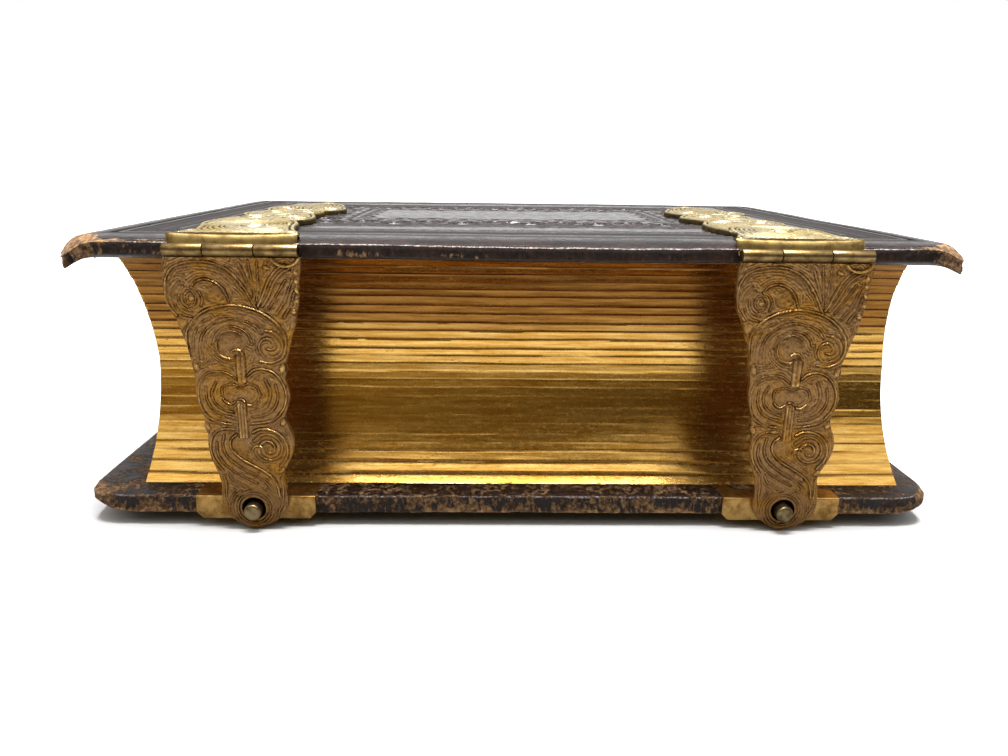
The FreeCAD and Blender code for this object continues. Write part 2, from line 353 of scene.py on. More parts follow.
def giltFinish():
    f = Finish("gilt_edges")
    streak = f.noise(1.0, 5, 0.65, f.stretched(120, 120, 2400))
    speck = f.noise(1.0, 5, 0.7, f.stretched(900, 900, 2200))
    gold = f.shades(streak, 0.32, 0.68, (207, 150, 58), (244, 199, 114))
    thin = f.ramp(f.plus(f.times(f.field("rub"), 0.7), f.less(speck, 0.68)), 0.12, 0.4)   # rubbed off
    gold = f.mix(f.times(thin, 0.7), gold, tone(150, 96, 38))
    # painted shade: on the upper leaves the darker gold stands in for a darker reflection
    gold = f.mix(f.field("dull"), gold, f.shades(streak, 0.3, 0.7, (140, 92, 36), (190, 136, 66)))
    gap = f.field("gap")
    colour = f.mix(gap, gold, tone(84, 34, 14))
    card = f.larger(gap, f.times(thin, 0.5))
    metal = f.less(0.98, f.times(card, 0.9))
    rough = f.blend(card, f.ramp(speck, 0.3, 0.75, (0.18, 0.3)), 0.8)
    grain = f.bump(speck, 0.012, 0.5, f.bump(streak, 0.014, 0.5))
    return f.done(Base_Color=colour, Metallic=metal, Roughness=rough, Normal=grain)


def brassFinish(name, low, middle, high, shine, tint=(1, 1, 1, 1)):   # low and middle: brown and golden
    f = Finish(name, Metallic=0.93, Specular_Tint=tint)
    raised = f.plus(f.field("raised"), f.swing(f.noise(900, 5, 0.75), 0.9))
    colour = f.shades(raised, 0.12, 0.52, low[0], middle[0])
    # crests take the high tone: rubbed brass, and a painted highlight
    colour = f.mix(f.ramp(raised, 0.62, 1.05), colour, tone(*high))
    golden = f.shades(raised, 0.12, 0.6, low[1], middle[1])
    colour = f.mix(f.ramp(f.noise(130, 5, 0.65), 0.42, 0.68), colour, golden)
    grime = f.times(f.ramp(f.noise(2200, 5, 0.75), 0.47, 0.66), 0.55)
    colour = f.mix(grime, colour, tone(*low[0]))
    rough = f.ramp(raised, 0.2, 0.95, (shine + 0.2, shine))
    return f.done(Base_Color=colour, Roughness=rough, Normal=f.bump(f.noise(1400, 5, 0.7), 0.07, 0.9))


def plainBrass(name, dark, light, shine, shadedCentres=()):   # for fittings without relief
    f = Finish(name, Metallic=0.95)
    spots = f.noise(420, 5, 0.65)
    colour = f.shades(spots, 0.36, 0.64, dark, light)
    scratches = f.noise(1.0, 3, 0.6, f.stretched(300, 2400, 2400))
    rough = f.ramp(spots, 0.3, 0.7, (shine + 0.14, shine))
    for centre in shadedCentres:   # painted shade: the brass round each stud, deep in the clasp's eye, is darkened and dulled to stand for the shade there
        studShade = f.ramp(f.distance(centre), 3.1 * mm, 2.6 * mm)
        colour = f.mix(studShade, colour, tone(26, 17, 10))
        rough = f.blend(studShade, rough, 0.9)
    grain = f.bump(f.plus(scratches, f.noise(1900, 3)), 0.03, 0.7)
    return f.done(Base_Color=colour, Roughness=rough, Normal=grain)


def paperFinish(name, dark, light, scale=240):
    f = Finish(name, Roughness=0.85, Specular_IOR_Level=0.25)
    colour = f.shades(f.noise(scale, 6, 0.7), 0.32, 0.68, dark, light)
    return f.done(Base_Color=colour, Normal=f.bump(f.noise(2600, 4), 0.03, 0.6))


def clothFinish():
    f = Finish("spine_cloth", Roughness=0.9, Sheen_Weight=0.2)
    across, along = (f.math("SINE", f.times(f.axis(index), 9000.0)) for index in (0, 2))
    weave = f.times(across, along)
    colour = f.shades(weave, -1, 1, (150, 132, 104), (188, 172, 142))
    return f.done(Base_Color=colour, Normal=f.bump(weave, 0.08, 0.6))


def threadFinish():
    f = Finish("band_thread", Roughness=0.6, Sheen_Weight=0.4)
    turns = f.math("SINE", f.times(f.axis(2), 3400.0))
    colour = f.shades(turns, -0.3, 0.3, (110, 36, 32), (206, 184, 140))
    return f.done(Base_Color=colour, Normal=f.bump(turns, 0.15, 0.8))


leather = leatherFinish()
gilt = giltFinish()
armBrass = brassFinish("arm_brass", ((82, 58, 38), (90, 60, 22)), ((158, 120, 76), (174, 124, 50)),
                       (230, 190, 112), 0.3)
mountBrass = brassFinish("mount_brass", ((72, 62, 42), (84, 68, 36)), ((162, 151, 124), (174, 154, 106)),
                         (204, 195, 166), 0.46, (0.66, 0.63, 0.54, 1))
foldBrass = plainBrass("fold_brass", (114, 92, 53), (166, 142, 88), 0.34)
# painted shade round the studs, inside the clasps' eyes
catchBrass = plainBrass("catch_brass", (142, 105, 54), (206, 164, 96), 0.3,
                        [toFrame(centreOf(side + "_stud")) for side in ("left", "right")])
rollBrass = plainBrass("roll_brass", (104, 82, 48), (160, 134, 88), 0.3)
studMetal = plainBrass("stud_metal", (92, 76, 50), (158, 138, 100), 0.28)
cardPaper = paperFinish("card_paper", (166, 148, 116), (188, 172, 140))
liningPaper = paperFinish("lining_paper", (86, 60, 40), (116, 84, 58), 500)
boardPulp = paperFinish("board_pulp", (120, 96, 66), (164, 138, 102), 700)
spineCloth = clothFinish()
bandThread = threadFinish()


def dressed(piece, *materials):
    piece.data.materials.clear()
    for material in materials:
        piece.data.materials.append(material)
    return piece


print("finishes ready")


# Leaves: one block of card leaves, hollow gilt fore edge, round at the spine.
leaves = {
    "count": 26,
    "foreBottom": 5.0, "foreMiddle": 16.7, "foreTop": 8.6,   # mm behind the covers' edge
    "spineRound": 10.5, "spineShoulder": 111.0,
    "gapDepth": 0.34, "gapShare": 0.07,   # groove between leaves, and its share of a leaf
    "ruffle": (0.05, 0.12), "wave": 0.12,   # mm: short and long bends of the fore edge, and its ups and downs
    "unevenThickness": 0.2,   # share of a leaf
    "lean": (0.9, -1.2),   # sideways shift of the middle and of the top, mm
    # by the height in the block, 0…1
    "unevenDepth": ([0, 0.15, 0.55, 0.8], [0.08, 0.01, 0.02, 0.1]),   # leaves standing back or out, mm
    "gapAt": ([0, 0.1, 0.2, 0.5, 0.66, 1], [0.45, 0.3, 0.08, 0.1, 0.85, 1]),   # how open the grooves are
    "stepShare": ([0, 0.06, 0.12, 1], [0.1, 0.03, 0.0, 0.08]),   # how square each edge stands
    "dull": (0.6, 0.72),   # painted shade: the upper leaves get a darker gold, standing in for the darker reflection they catch
}


def buildLeaves():
    v = leaves
    low, high = (fromFrame(corner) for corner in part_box("leaf_block"))
    middle = (low[2] + high[2]) / 2
    height = high[2] - low[2]
    foreY, foreZ, foreR = circleThrough((v["foreBottom"], low[2]), (v["foreMiddle"], middle),
                                        (v["foreTop"], high[2]))
    bulge = (height ** 2 / 4 + v["spineRound"] ** 2) / (2 * v["spineRound"])
    bulgeY = v["spineShoulder"] + v["spineRound"] - bulge
    dice = np.random.default_rng(11)
    thick = 1 + v["unevenThickness"] * dice.uniform(-1, 1, v["count"])
    seams = low[2] + height * np.concatenate([[0], np.cumsum(thick) / thick.sum()])
    push = np.interp(np.arange(v["count"]) / v["count"], *v["unevenDepth"])
    push = push * dice.uniform(-1, 0.6, v["count"])
    push[-1] = push[0] = 0

    def foreEdge(z):
        return foreY + np.sqrt(foreR ** 2 - (z - foreZ) ** 2)

    def spineEdge(z):
        return bulgeY + np.sqrt(bulge ** 2 - np.clip(z - middle, -height / 2, height / 2) ** 2)

    along = np.linspace(0, 1, 261)   # fore edge, then one end, the spine and the other end
    back = np.linspace(0, 1, 41)[1:]
    side = np.concatenate([along * 0, back * 0 + 1, back * 0 + 2, back * 0 + 3])
    share = np.concatenate([along, back, back, back])
    groove = v["gapShare"]
    section = ((0, 1, 1), (groove, 0.15, 0.25), (0.25, 0, 0), (0.5, 0, 0), (0.75, 0, 0),
               (1 - groove, 0.15, 0.25))
    rows, gaps, rubs, shadedRows = [], [], [], []
    for leaf in range(v["count"]):
        bottom, top = seams[leaf], seams[leaf + 1]
        for t, inset, gap in section:   # share of the leaf's thickness, how far in, how dark
            if leaf == 0 and t == 0:
                inset = gap = 0
            z = bottom + (top - bottom) * t
            up = (z - low[2]) / height
            square = np.interp(up, *v["stepShare"])
            own = foreEdge((bottom + top) / 2) * square + foreEdge(z) * (1 - square)
            shift = np.interp(z, (middle, high[2]), v["lean"])
            left, right = low[0] + shift, high[0] + shift
            x = np.select([side == 0, side == 1, side == 2],
                          [left + (right - left) * share, right, right + (left - right) * share], left)
            patches = np.clip(0.8 + 0.6 * clouds(x / 14, (leaf + (t > 0.5)) * 2.3, 71), 0.1, 1)
            opening = np.interp(up, *v["gapAt"]) * patches
            short = v["ruffle"][0] * clouds(x / 9, leaf * 1.7, 21)
            fore = own - push[leaf] + inset * v["gapDepth"] * opening
            fore = fore + short + v["ruffle"][1] * cloud(x / 30, up * 3, 22)
            trim = inset * v["gapDepth"] * 0.6 + 0.12 * cloud(share * 6, leaf + 0.5, 5)
            x = np.select([side == 1, side == 3], [x - trim, x + trim], x)
            spine = spineEdge(z)
            y = np.select([side == 0, side == 1, side == 2],
                          [fore, fore + (spine - fore) * share, spine], spine + (fore - spine) * share)
            wave = v["wave"] * clouds(x / 17, (leaf + t) * 0.8, 31) * (side == 0)
            wave *= step(low[2], low[2] + 3, z) * step(high[2], high[2] - 3, z)
            row = np.stack([x, y, z + wave], 1)
            row[-1] = row[0]
            rows.append(row)
            gaps.append(gap * np.clip(opening * 1.1, 0, 1))
            shadedRows.append(step(*v["dull"], up + 0.03 * clouds(x / 20, leaf, 51)) * (side == 0))
            rubs.append(0.15 + 0.35 * clouds(x / 6, leaf * 3.1 + t, 41) + np.abs(t - 0.5) * 0.2)
    last = rows[-1].copy()
    last[:, 2] = high[2]
    fields = {"gap": gaps + [gaps[-1] * 0], "rub": rubs + rubs[-1:], "dull": shadedRows + shadedRows[-1:]}
    block = closeUp(gridPiece("leaf_edges", np.array(rows + [last]), fields))
    dressed(block, gilt, cardPaper)
    for face in block.data.polygons:   # the outermost leaves show their card
        face.material_index = int(abs(face.normal.z) > 0.99 and len(face.vertices) > 8)
    return smoothed(block, 50)


leafBlock = buildLeaves()
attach(leafBlock, "block")
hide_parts("leaf_block")
print("leaves done")


# Covers: leather over board, tooled face, rolled joint, worn corners.
cover = {
    "cornerRadius": 5.0, "thickness": 4.0, "turnIn": 10.0, "pasteGap": 2.5,
    "frame": 24.0, "frameAtJoint": 16.0,   # border with fillets, outside the rolled ornament
    "mesh": {"front": 0.5, "back": 0.6},   # spacing of the points
    # fillets: inset, half width, depth
    "fillets": [(7.6, 0.55, 0.26), (9.6, 0.75, 0.3), (11.9, 1.1, 0.34), (14.7, 1.0, 0.34), (17.4, 0.9, 0.34)],
    # insets where the face is dull and darkened, as blind-tooled leather and as painted shade of the fillets,
    # and how much
    "dulled": ([5.9, 6.4, 7.9, 8.4, 10.0, 10.5, 13.2, 13.8, 16.4, 17.0],
               [0, 1, 1, 0, 0, 1, 1, 0.25, 0.25, 0]),
    "rollWidth": 24.0, "rollDepth": 0.42, "rollRepeat": 14.0,
    # section of the worn outer edge: depth below the face, inset
    "edge": [(0.01, 7.2), (0.04, 6.3), (0.09, 5.3), (0.16, 4.3), (0.25, 3.4), (0.37, 2.6), (0.51, 1.9),
             (0.67, 1.3), (0.81, 0.8), (0.94, 0.42), (1.03, 0.16), (1.1, 0.0), (1.17, 0.04), (1.28, 0.12),
             (1.45, 0.2), (1.7, 0.2), (2.1, 0.16), (2.5, 0.08), (2.9, 0.02), (3.1, 0.0), (3.25, 0.14),
             (3.4, 0.45), (3.55, 0.9), (3.7, 1.5), (3.85, 2.3), (4.0, 3.6)],
    "rim": [4.6, 6.0, 7.2, 8.4, 9.5, 9.9],   # insets of the points of the turned-in leather
}


def rollOrnament(across, along):   # pressed share 0…1 of the rolled border, across counted inwards
    width, repeat = cover["rollWidth"], cover["rollRepeat"]
    u = np.mod(along, repeat)

    def line(distance, half):
        return 0.9 * (1 - step(half * 0.4, half, np.abs(distance)))

    beads = np.hypot(across - 2.2, np.mod(along, 2.8) - 1.4)
    marks = [0.8 * (np.abs(across - 2.2) < 1.5) * step(0.6, 1.15, beads)]
    marks += [line(across - place, half) for place, half in ((4.7, 0.8), (7.0, 0.8), (18.2, 0.5))]
    for mirror, middle in ((1, repeat / 4), (-1, 3 * repeat / 4)):
        centre = width / 2 - mirror * 1.4
        du, dv = u - middle, (across - centre) * mirror
        radius = np.hypot(du, dv)
        ring = np.mod(radius / 1.25 - np.arctan2(dv, du) / (2 * math.pi), 1.0)
        marks.append((np.abs(ring - 0.5) < 0.24) * (radius < 3.3) * (radius > 0.5))
        for side in (-1, 1):   # small leaves beside each coil
            marks.append(1 - step(0.6, 1.0, np.hypot((du - side * 3.3) / 0.8, (dv + 3.2) / 1.7)))
    vine = width / 2 + 3.9 * np.sin(2 * math.pi * along / repeat)
    lobe = 19.6 + 3.0 * np.abs(np.sin(math.pi * along / 7))
    drop = np.hypot(across - 20.6, np.mod(along, 7.0) - 3.5)
    marks += [line(across - vine, 0.5), line(across - lobe, 0.5), 1 - step(0.5, 0.9, drop)]
    return np.max(marks, axis=0) * (across > 0.3) * (across < width)


def coverRings():   # inset, inset at the joint, depth, how dull, share of the way round the edge
    v = cover
    first = v["edge"][0][1]
    insets = set(np.arange(v["frame"], first + 0.3, -1.5)) | set(v["dulled"][0])
    for place, half, _ in v["fillets"]:
        insets |= {place + half * k for k in (-1.15, -1, -0.65, 0, 0.65, 1, 1.15)}
    rings = []
    for inset in sorted((round(i, 3) for i in insets if first < i <= v["frame"]), reverse=True):
        deep = sum(most * (1 - step(0.65 * half, half, abs(inset - place)))
                   for place, half, most in v["fillets"])
        dull = max(np.interp(inset, *v["dulled"]), min(1, deep * 5))
        rings.append((inset, inset * v["frameAtJoint"] / v["frame"], deep, dull, 0))
    roll = v["thickness"] / 2   # radius of the joint's edge
    for deep, inset in v["edge"]:
        joint = roll - math.sqrt(max(0, roll ** 2 - (deep - roll) ** 2))
        dull = np.interp(inset, *v["dulled"]) * (deep < 1)
        rings.append((inset, joint, deep, dull, deep / v["thickness"]))
    for k, inset in enumerate(v["rim"]):
        rings.append((inset, roll + 0.08 * (k + 1), v["thickness"], 0, 1))
    return rings + [(v["turnIn"], v["pasteGap"], v["thickness"] - up, 0, 1) for up in (0.1, 0.5)]


def coverSkin(name, facing, seed):   # face down on depth 0; depth counts from the outer face inwards
    v = cover
    half, depth, mesh = coverHalf, coverDepth, v["mesh"][facing]
    fore, joint = v["frame"], v["frameAtJoint"]
    xs = np.linspace(-half + fore, half - fore, int(2 * (half - fore) / mesh) + 1)
    ys = np.linspace(fore, depth - joint, int((depth - fore - joint) / mesh) + 1)
    x, y = np.meshgrid(xs, ys)
    toEnd = np.minimum(x - xs[0], xs[-1] - x)
    toSide = np.minimum(y - ys[0], ys[-1] - y)
    across = np.minimum(toEnd, toSide)
    along = np.where(toEnd < toSide, y - (ys[0] + ys[-1]) / 2, x)
    pressed = rollOrnament(across, along) * (facing == "front")   # the back is plain
    patches = step(12, 9, across) * np.clip(0.3 + 0.5 * clouds(x / 2.5, y / 2.5, seed), 0, 1)
    panel = gridPiece(name, np.stack([x, y, v["rollDepth"] * pressed], 2),
                      {"press": np.maximum(np.clip(pressed * 2, 0, 1), patches), "under": 0 * x})

    shareX, shareY = (xs - xs[0]) / (xs[-1] - xs[0]), (ys - ys[0]) / (ys[-1] - ys[0])
    side = np.repeat([0, 1, 2, 3], [len(xs) - 1, len(ys) - 1, len(xs) - 1, len(ys)])
    share = np.concatenate([shareX[:-1], shareY[:-1], 1 - shareX[:0:-1], 1 - shareY[::-1]])
    rows, fields = [], {"press": [], "under": []}
    for inset, joint, deep, press, under in coverRings():
        corners = np.array([(-half + inset, inset), (half - inset, inset), (half - inset, depth - joint),
                            (-half + inset, depth - joint)])
        start, end = corners[side], corners[(side + 1) % 4]
        point = start + (end - start) * share[:, None]
        radius = v["cornerRadius"] - inset
        if radius > 0.01:   # the two corners at the fore edge are round
            for sign in (-1, 1):
                px, py = point.T
                centreX, centreY = sign * (half - inset - radius), inset + radius
                near = (sign * px > abs(centreX)) & (py < centreY)
                away = np.where(side == 0, (px - centreX) * sign, centreY - py)
                turn = np.clip(away / radius, 0, 1) * math.pi / 4
                sine, cosine = radius * np.sin(turn), radius * np.cos(turn)
                bend = np.column_stack([centreX + sign * np.where(side == 0, sine, cosine),
                                        centreY - np.where(side == 0, cosine, sine)])
                point[near] = bend[near]
        rows.append(np.column_stack([point, np.full(len(point), deep)]))
        fields["press"].append(np.full(len(point), press))
        fields["under"].append(np.full(len(point), under))
    border = gridPiece(name + "_border", np.array(rows), fields)
    return closeUp(joined([panel, border], name))


def refineCorners(piece, reach=14.5, inner=5.5):   # finer mesh where the corners are worn
    places = readPlaces(piece)
    takeUp(piece)
    bpy.ops.object.mode_set(mode="EDIT")
    bpy.ops.mesh.select_mode(type="FACE")
    bpy.ops.mesh.select_all(action="DESELECT")
    bpy.ops.object.mode_set(mode="OBJECT")
    for face in piece.data.polygons:
        x, y, _ = places[face.vertices[0]]
        toEnd = coverHalf - abs(x)
        face.select = bool(toEnd + y < reach and min(toEnd, y) < inner and len(face.vertices) < 5)
    bpy.ops.object.mode_set(mode="EDIT")
    bpy.ops.mesh.subdivide(number_cuts=1)
    bpy.ops.object.mode_set(mode="OBJECT")


# Wear, in mm; x runs along the fore edge, depth from a cover's outer face to its inner one.
# corners: side, how far bent in, reach of the bend, share that the inner face is spared, reach of bare skin
# ragged, tuck: how uneven the bare skin's limit is; how far the noses are drawn in, outer and inner face
# sag, along: at some x, how far the fore edge hangs and how strongly its bare line shows
# ridge, fibres: depth and half height of the rubbed line, which is also a painted highlight; depth of the
# bare line and how bare it is
wear = {
    "front": {"corners": [(-1, 3.7, 9.5, -0.33, 12.5), (1, 2.9, 9.5, -0.42, 10.0)],
              "ragged": 2.4, "tuck": (0.4, 0.6), "hole": (-74.8, 1.0, 2.6),
              "sag": ([-60, -36, 20, 62], [-0.2, 0, 0.3, -0.2]), "ridge": (1.1, 0.14),
              "fibres": (2.7, 0.62), "along": ([-60, -12, 4, 70], [1.1, 1.0, 0.6, 0.5])},
    "back": {"corners": [(-1, 2.9, 10.0, 0.8, 7.5), (1, 2.2, 9.0, 0.8, 5.0)],
             "ragged": 0.9, "tuck": (0.5, 0.9), "hole": None,
             "sag": ([-60, 60], [0, 0]), "ridge": (3.1, 0.17),
             "fibres": (1.1, 0.66), "along": ([-60, 60], [1, 1])},
}


def turnedOver(height, facing):   # height to depth below a cover's outer face, or back again
    return albumHeight - height if facing == "front" else height


def fromCorner(x, y, sign):   # way in from a corner of the fore edge
    return coverHalf - sign * x + 0.8 * y


def sagOf(x, y, facing):
    return np.interp(x, *wear[facing]["sag"]) * np.clip(1 - y / 7, 0, 1) ** 2


def bentIn(x, y, deep, facing):   # depth after the corners have been knocked inwards
    for sign, droop, reach, spared, _ in wear[facing]["corners"]:
        bend = droop * step(reach, 0, fromCorner(x, y, sign)) ** 1.9
        deep = deep + bend * (1 - spared * np.clip(deep, 0, 4) / 4)
    return deep


def wearCover(piece, facing, seed):
    v = wear[facing]
    x, y, deep = readPlaces(piece).T.copy()
    edge = np.minimum(coverHalf - np.abs(x), y)   # distance from the three outer edges
    scuff, hole = np.zeros_like(x), np.zeros_like(x)
    for sign, _, _, _, reach in v["corners"]:
        away = fromCorner(x, y, sign)
        bare = step(reach, reach * 0.5, away + v["ragged"] * clouds(x / 2.5, y / 2.5 + deep, seed))
        if facing == "front":
            bare = bare * (0.72 + 0.3 * step(2.4, 0.8, deep))
        mottled = 0.52 * step(reach * 2.8, reach * 0.6, away) * step(2.6, 0.6, edge) * step(3.6, 1.2, deep)
        scuff = np.maximum(scuff, np.maximum(bare, mottled))
        fray = step(12, 2, away) * step(2.5, 0.3, edge)
        rough = clouds(x * 1.4 + deep, y * 1.4 - deep, seed + 1)
        x = x - sign * fray * (0.25 + 0.28 * rough)
        y = y + fray * (0.2 + 0.24 * clouds(x * 1.3, deep * 1.6 + y, seed + 2))
    outer = step(1.2, 0.2, edge)
    place, most = v["fibres"]
    low = np.exp(-((deep - place) / 0.8) ** 2)
    patches = np.clip(0.55 + 0.75 * clouds(x / 9, deep * 0.5, seed + 3), 0, 1)
    scuff = np.maximum(scuff, most * outer * low * patches * np.interp(x, *v["along"]))
    if facing == "back":
        fibres = np.interp(deep, [0, 0.9, 2.0, 3.4], [0.82, 0.72, 0.55, 0.45])
        scuff = np.maximum(scuff, outer * (fibres + 0.34 * clouds(x / 6, deep * 0.8, seed + 12)))
    # rubbed line along the ridge: rubbed leather, and also a painted highlight
    place, half = v["ridge"]
    patches = np.clip(0.95 + 0.6 * clouds(x / 5, y / 5, seed + 9), 0.4, 1.2)
    rub = outer * np.exp(-((deep - place) / half) ** 2) * patches
    if facing == "back":   # squarer edge, its rubbed line made stronger as a painted highlight; its turned-in leather is rubbed through
        rub = 1.5 * rub
        deep = np.interp(deep, [0, 1.1, 3.1, 4], [0, 0.6, 3.7, 4])
        patches = np.interp(x, [-60, -44, 70], [1, 0.9, 0.85]) * (0.55 + 0.4 * clouds(x / 3, y / 3, seed + 4))
        scuff = np.maximum(scuff, step(3.5, 4.0, deep) * patches)
    for sign in (-1, 1):   # rounded noses
        tuck = v["tuck"][1] * step(2.4, 4.0, deep) + v["tuck"][0] * step(1.2, 0, deep)
        tuck = step(7, 1, fromCorner(x, y, sign)) * tuck
        x, y = x - sign * tuck, y + tuck
    ragged = outer * step(3.9, 2.0, deep)
    y = y + 0.10 * ragged * clouds(x * 1.1, deep * 1.2, seed + 5) * (y < 3)
    deep = deep + 0.06 * clouds(x / 6, y / 6, seed + 6) + 0.1 * cloud(x / 28, y / 28, seed + 7)
    deep = deep + 0.08 * step(1.6, 0.5, edge) * step(1.5, 0.4, deep) * clouds(x * 0.9, y * 0.5, seed + 8)
    deep = deep + sagOf(x, y, facing)
    if v["hole"]:   # a torn layer leaves a dark pocket with a small flap over it
        px, py, pz = v["hole"]
        apart = np.sqrt((x - px) ** 2 + (y - py) ** 2 + ((deep - pz) * 0.9) ** 2)
        flap = np.sqrt((x - px + 0.9) ** 2 + (y - py) ** 2 + (deep - pz + 1.7) ** 2)
        hole = np.maximum(step(1.35, 0.95, apart), 0.7 * step(0.8, 0.3, flap))
        sink = 1.6 * step(1.35, 0.7, apart)
        lift = 0.15 * step(0.9, 0.2, flap)
        x = x + 0.75 * sink - lift
        y = y + 0.65 * sink - 0.3 * lift
    deep = bentIn(x, y, deep, facing)
    writePlaces(piece, np.stack([x, y, turnedOver(deep, facing)], 1))
    for field, values in (("scuff", scuff), ("hole", hole), ("rub", rub)):
        writeField(piece, field, values)


def buildCover(name, facing, body, node, seed):
    piece = coverSkin(name, facing, seed)
    refineCorners(piece)
    wearCover(piece, facing, seed)
    closeUp(piece, fill=False)
    dressed(piece, leather)
    smoothed(piece, 60)
    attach(piece, body)
    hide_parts(node)


# Boards; each pair of limits is the way from a corner where a change starts and where it's complete.
board = {"cuts": 26, "crushFrom": (15, 4), "crushed": 0.7, "shortFrom": (13, 2), "short": 3.5}


def buildBoard(name, facing, body, node):   # millboard core, bent with its leather
    v = board
    low, high = (fromFrame(corner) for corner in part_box(node))
    deselect()
    bpy.ops.mesh.primitive_cube_add(size=1, location=toFrame((low + high) / 2), scale=(high - low) * mm)
    piece = seated(named(name))
    bpy.ops.object.mode_set(mode="EDIT")
    bpy.ops.mesh.select_all(action="SELECT")
    bpy.ops.mesh.subdivide(number_cuts=v["cuts"])
    bpy.ops.object.mode_set(mode="OBJECT")
    x, y, z = readPlaces(piece).T.copy()
    radius = cover["cornerRadius"] - low[1]
    beyondX = np.abs(x) - (high[0] - radius)
    beyondY = (low[1] + radius) - y
    out = (beyondX > 0) & (beyondY > 0)   # in the square of a rounded corner
    reach = np.where(out, np.maximum(np.maximum(beyondX, beyondY), 1e-6) / np.hypot(beyondX, beyondY), 1)
    x = np.where(out, np.sign(x) * (np.abs(x) - beyondX * (1 - reach)), x)
    y = np.where(out, y + beyondY * (1 - reach), y)
    away = coverHalf - np.abs(x) + y
    deep = turnedOver(z, facing)
    deep = 2 + (deep - 2) * (1 - v["crushed"] * step(*v["crushFrom"], away))
    deep = bentIn(x, y, deep, facing) + sagOf(x, y, facing)
    inside = v["short"] * step(*v["shortFrom"], away)
    writePlaces(piece, np.stack([x - np.sign(x) * inside, y + inside, turnedOver(deep, facing)], 1))
    dressed(piece, boardPulp)
    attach(piece, body)
    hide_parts(node)


buildCover("front_cover_leather", "front", "front_cover", "front_leather", 60)
buildCover("back_cover_leather", "back", "back_cover", "back_leather", 90)
buildBoard("front_cover_board", "front", "front_cover", "front_board")
buildBoard("back_cover_board", "back", "back_cover", "back_board")
print("covers done")


# Spine: one leather over the round of the leaves, its edges turned in under the rolled joints.
spine = {
    "radius": 26.3, "thickness": 1.2, "soft": (0.9, 0.35),   # rounding at head and tail
    "arcEnd": 1.3, "innerEnd": 0.4,   # below the top: where the round ends outside and inside
    "lip": [(114.75, 0.75), (114.1, 0.32), (113.4, 0.1), (112.4, 0.0),
            (111.3, -0.02), (110.6, 0.0), (110.45, 0.2), (110.7, 0.4)],   # place, drop from the top
    "fillets": [(5.0, 0.35, 0.16), (7.0, 0.2, 0.12), (30.0, 0.25, 0.14), (32.0, 0.25, 0.14),
                (58.0, 0.25, 0.14), (60.0, 0.25, 0.14)],   # from each end: place, half width, depth
}


def buildSpine():
    v = spine
    low, high = (fromFrame(corner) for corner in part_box("spine_leather"))
    middle = (low[2] + high[2]) / 2
    outer = v["radius"] + v["thickness"]
    centre = high[1] - outer
    top = high[2] - middle

    def arc(radius, drop, count):   # upwards, ending so far below the top
        tilt = math.asin((top - drop) / radius)
        turns = np.linspace(-tilt, tilt, count)
        return [(centre + radius * math.cos(t), radius * math.sin(t)) for t in turns]

    outside, inside = arc(outer, v["arcEnd"], 49), arc(v["radius"], v["innerEnd"], 21)
    lipUp = [(y, top - drop) for y, drop in v["lip"]]
    lipDown = [(y, -z) for y, z in reversed(lipUp)]
    section = np.array(outside + lipUp + inside[::-1] + lipDown + outside[:1])
    ends = [place + half * k for place, half, _ in v["fillets"] for k in (-1, -0.5, 0, 0.5, 1)]
    ends = np.array(sorted([0, 0.15, 0.5, 1.2, 2.5] + ends))
    xs = np.concatenate([low[0] + ends, np.linspace(low[0] + 62, high[0] - 62, 12), (high[0] - ends)[::-1]])
    fromEnd = np.minimum(xs - low[0], high[0] - xs)
    depth = sum(deep * (1 - step(0, half, np.abs(fromEnd - place))) for place, half, deep in v["fillets"])
    depth = depth + v["soft"][1] * (1 - step(0, v["soft"][0], fromEnd)) ** 2
    radial = np.hypot(section[:, 0] - centre, section[:, 1])
    onBack = (radial > outer - 0.05)[:, None]
    shrink = 1 - onBack * depth / outer
    y = centre + (section[:, 0, None] - centre) * shrink
    z = section[:, 1, None] * shrink + middle
    x = np.broadcast_to(xs, y.shape)
    y = y + onBack * 0.12 * clouds(x / 11, z / 11, 120)
    piece = closeUp(gridPiece("spine_leather_skin", np.stack([x, y, z], 2),
                              {"press": onBack * np.clip(depth * 4, 0, 1)}))
    dressed(piece, leather)
    smoothed(piece, 50)
    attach(piece, "block")
    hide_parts("spine_leather")


buildSpine()
print("spine done")


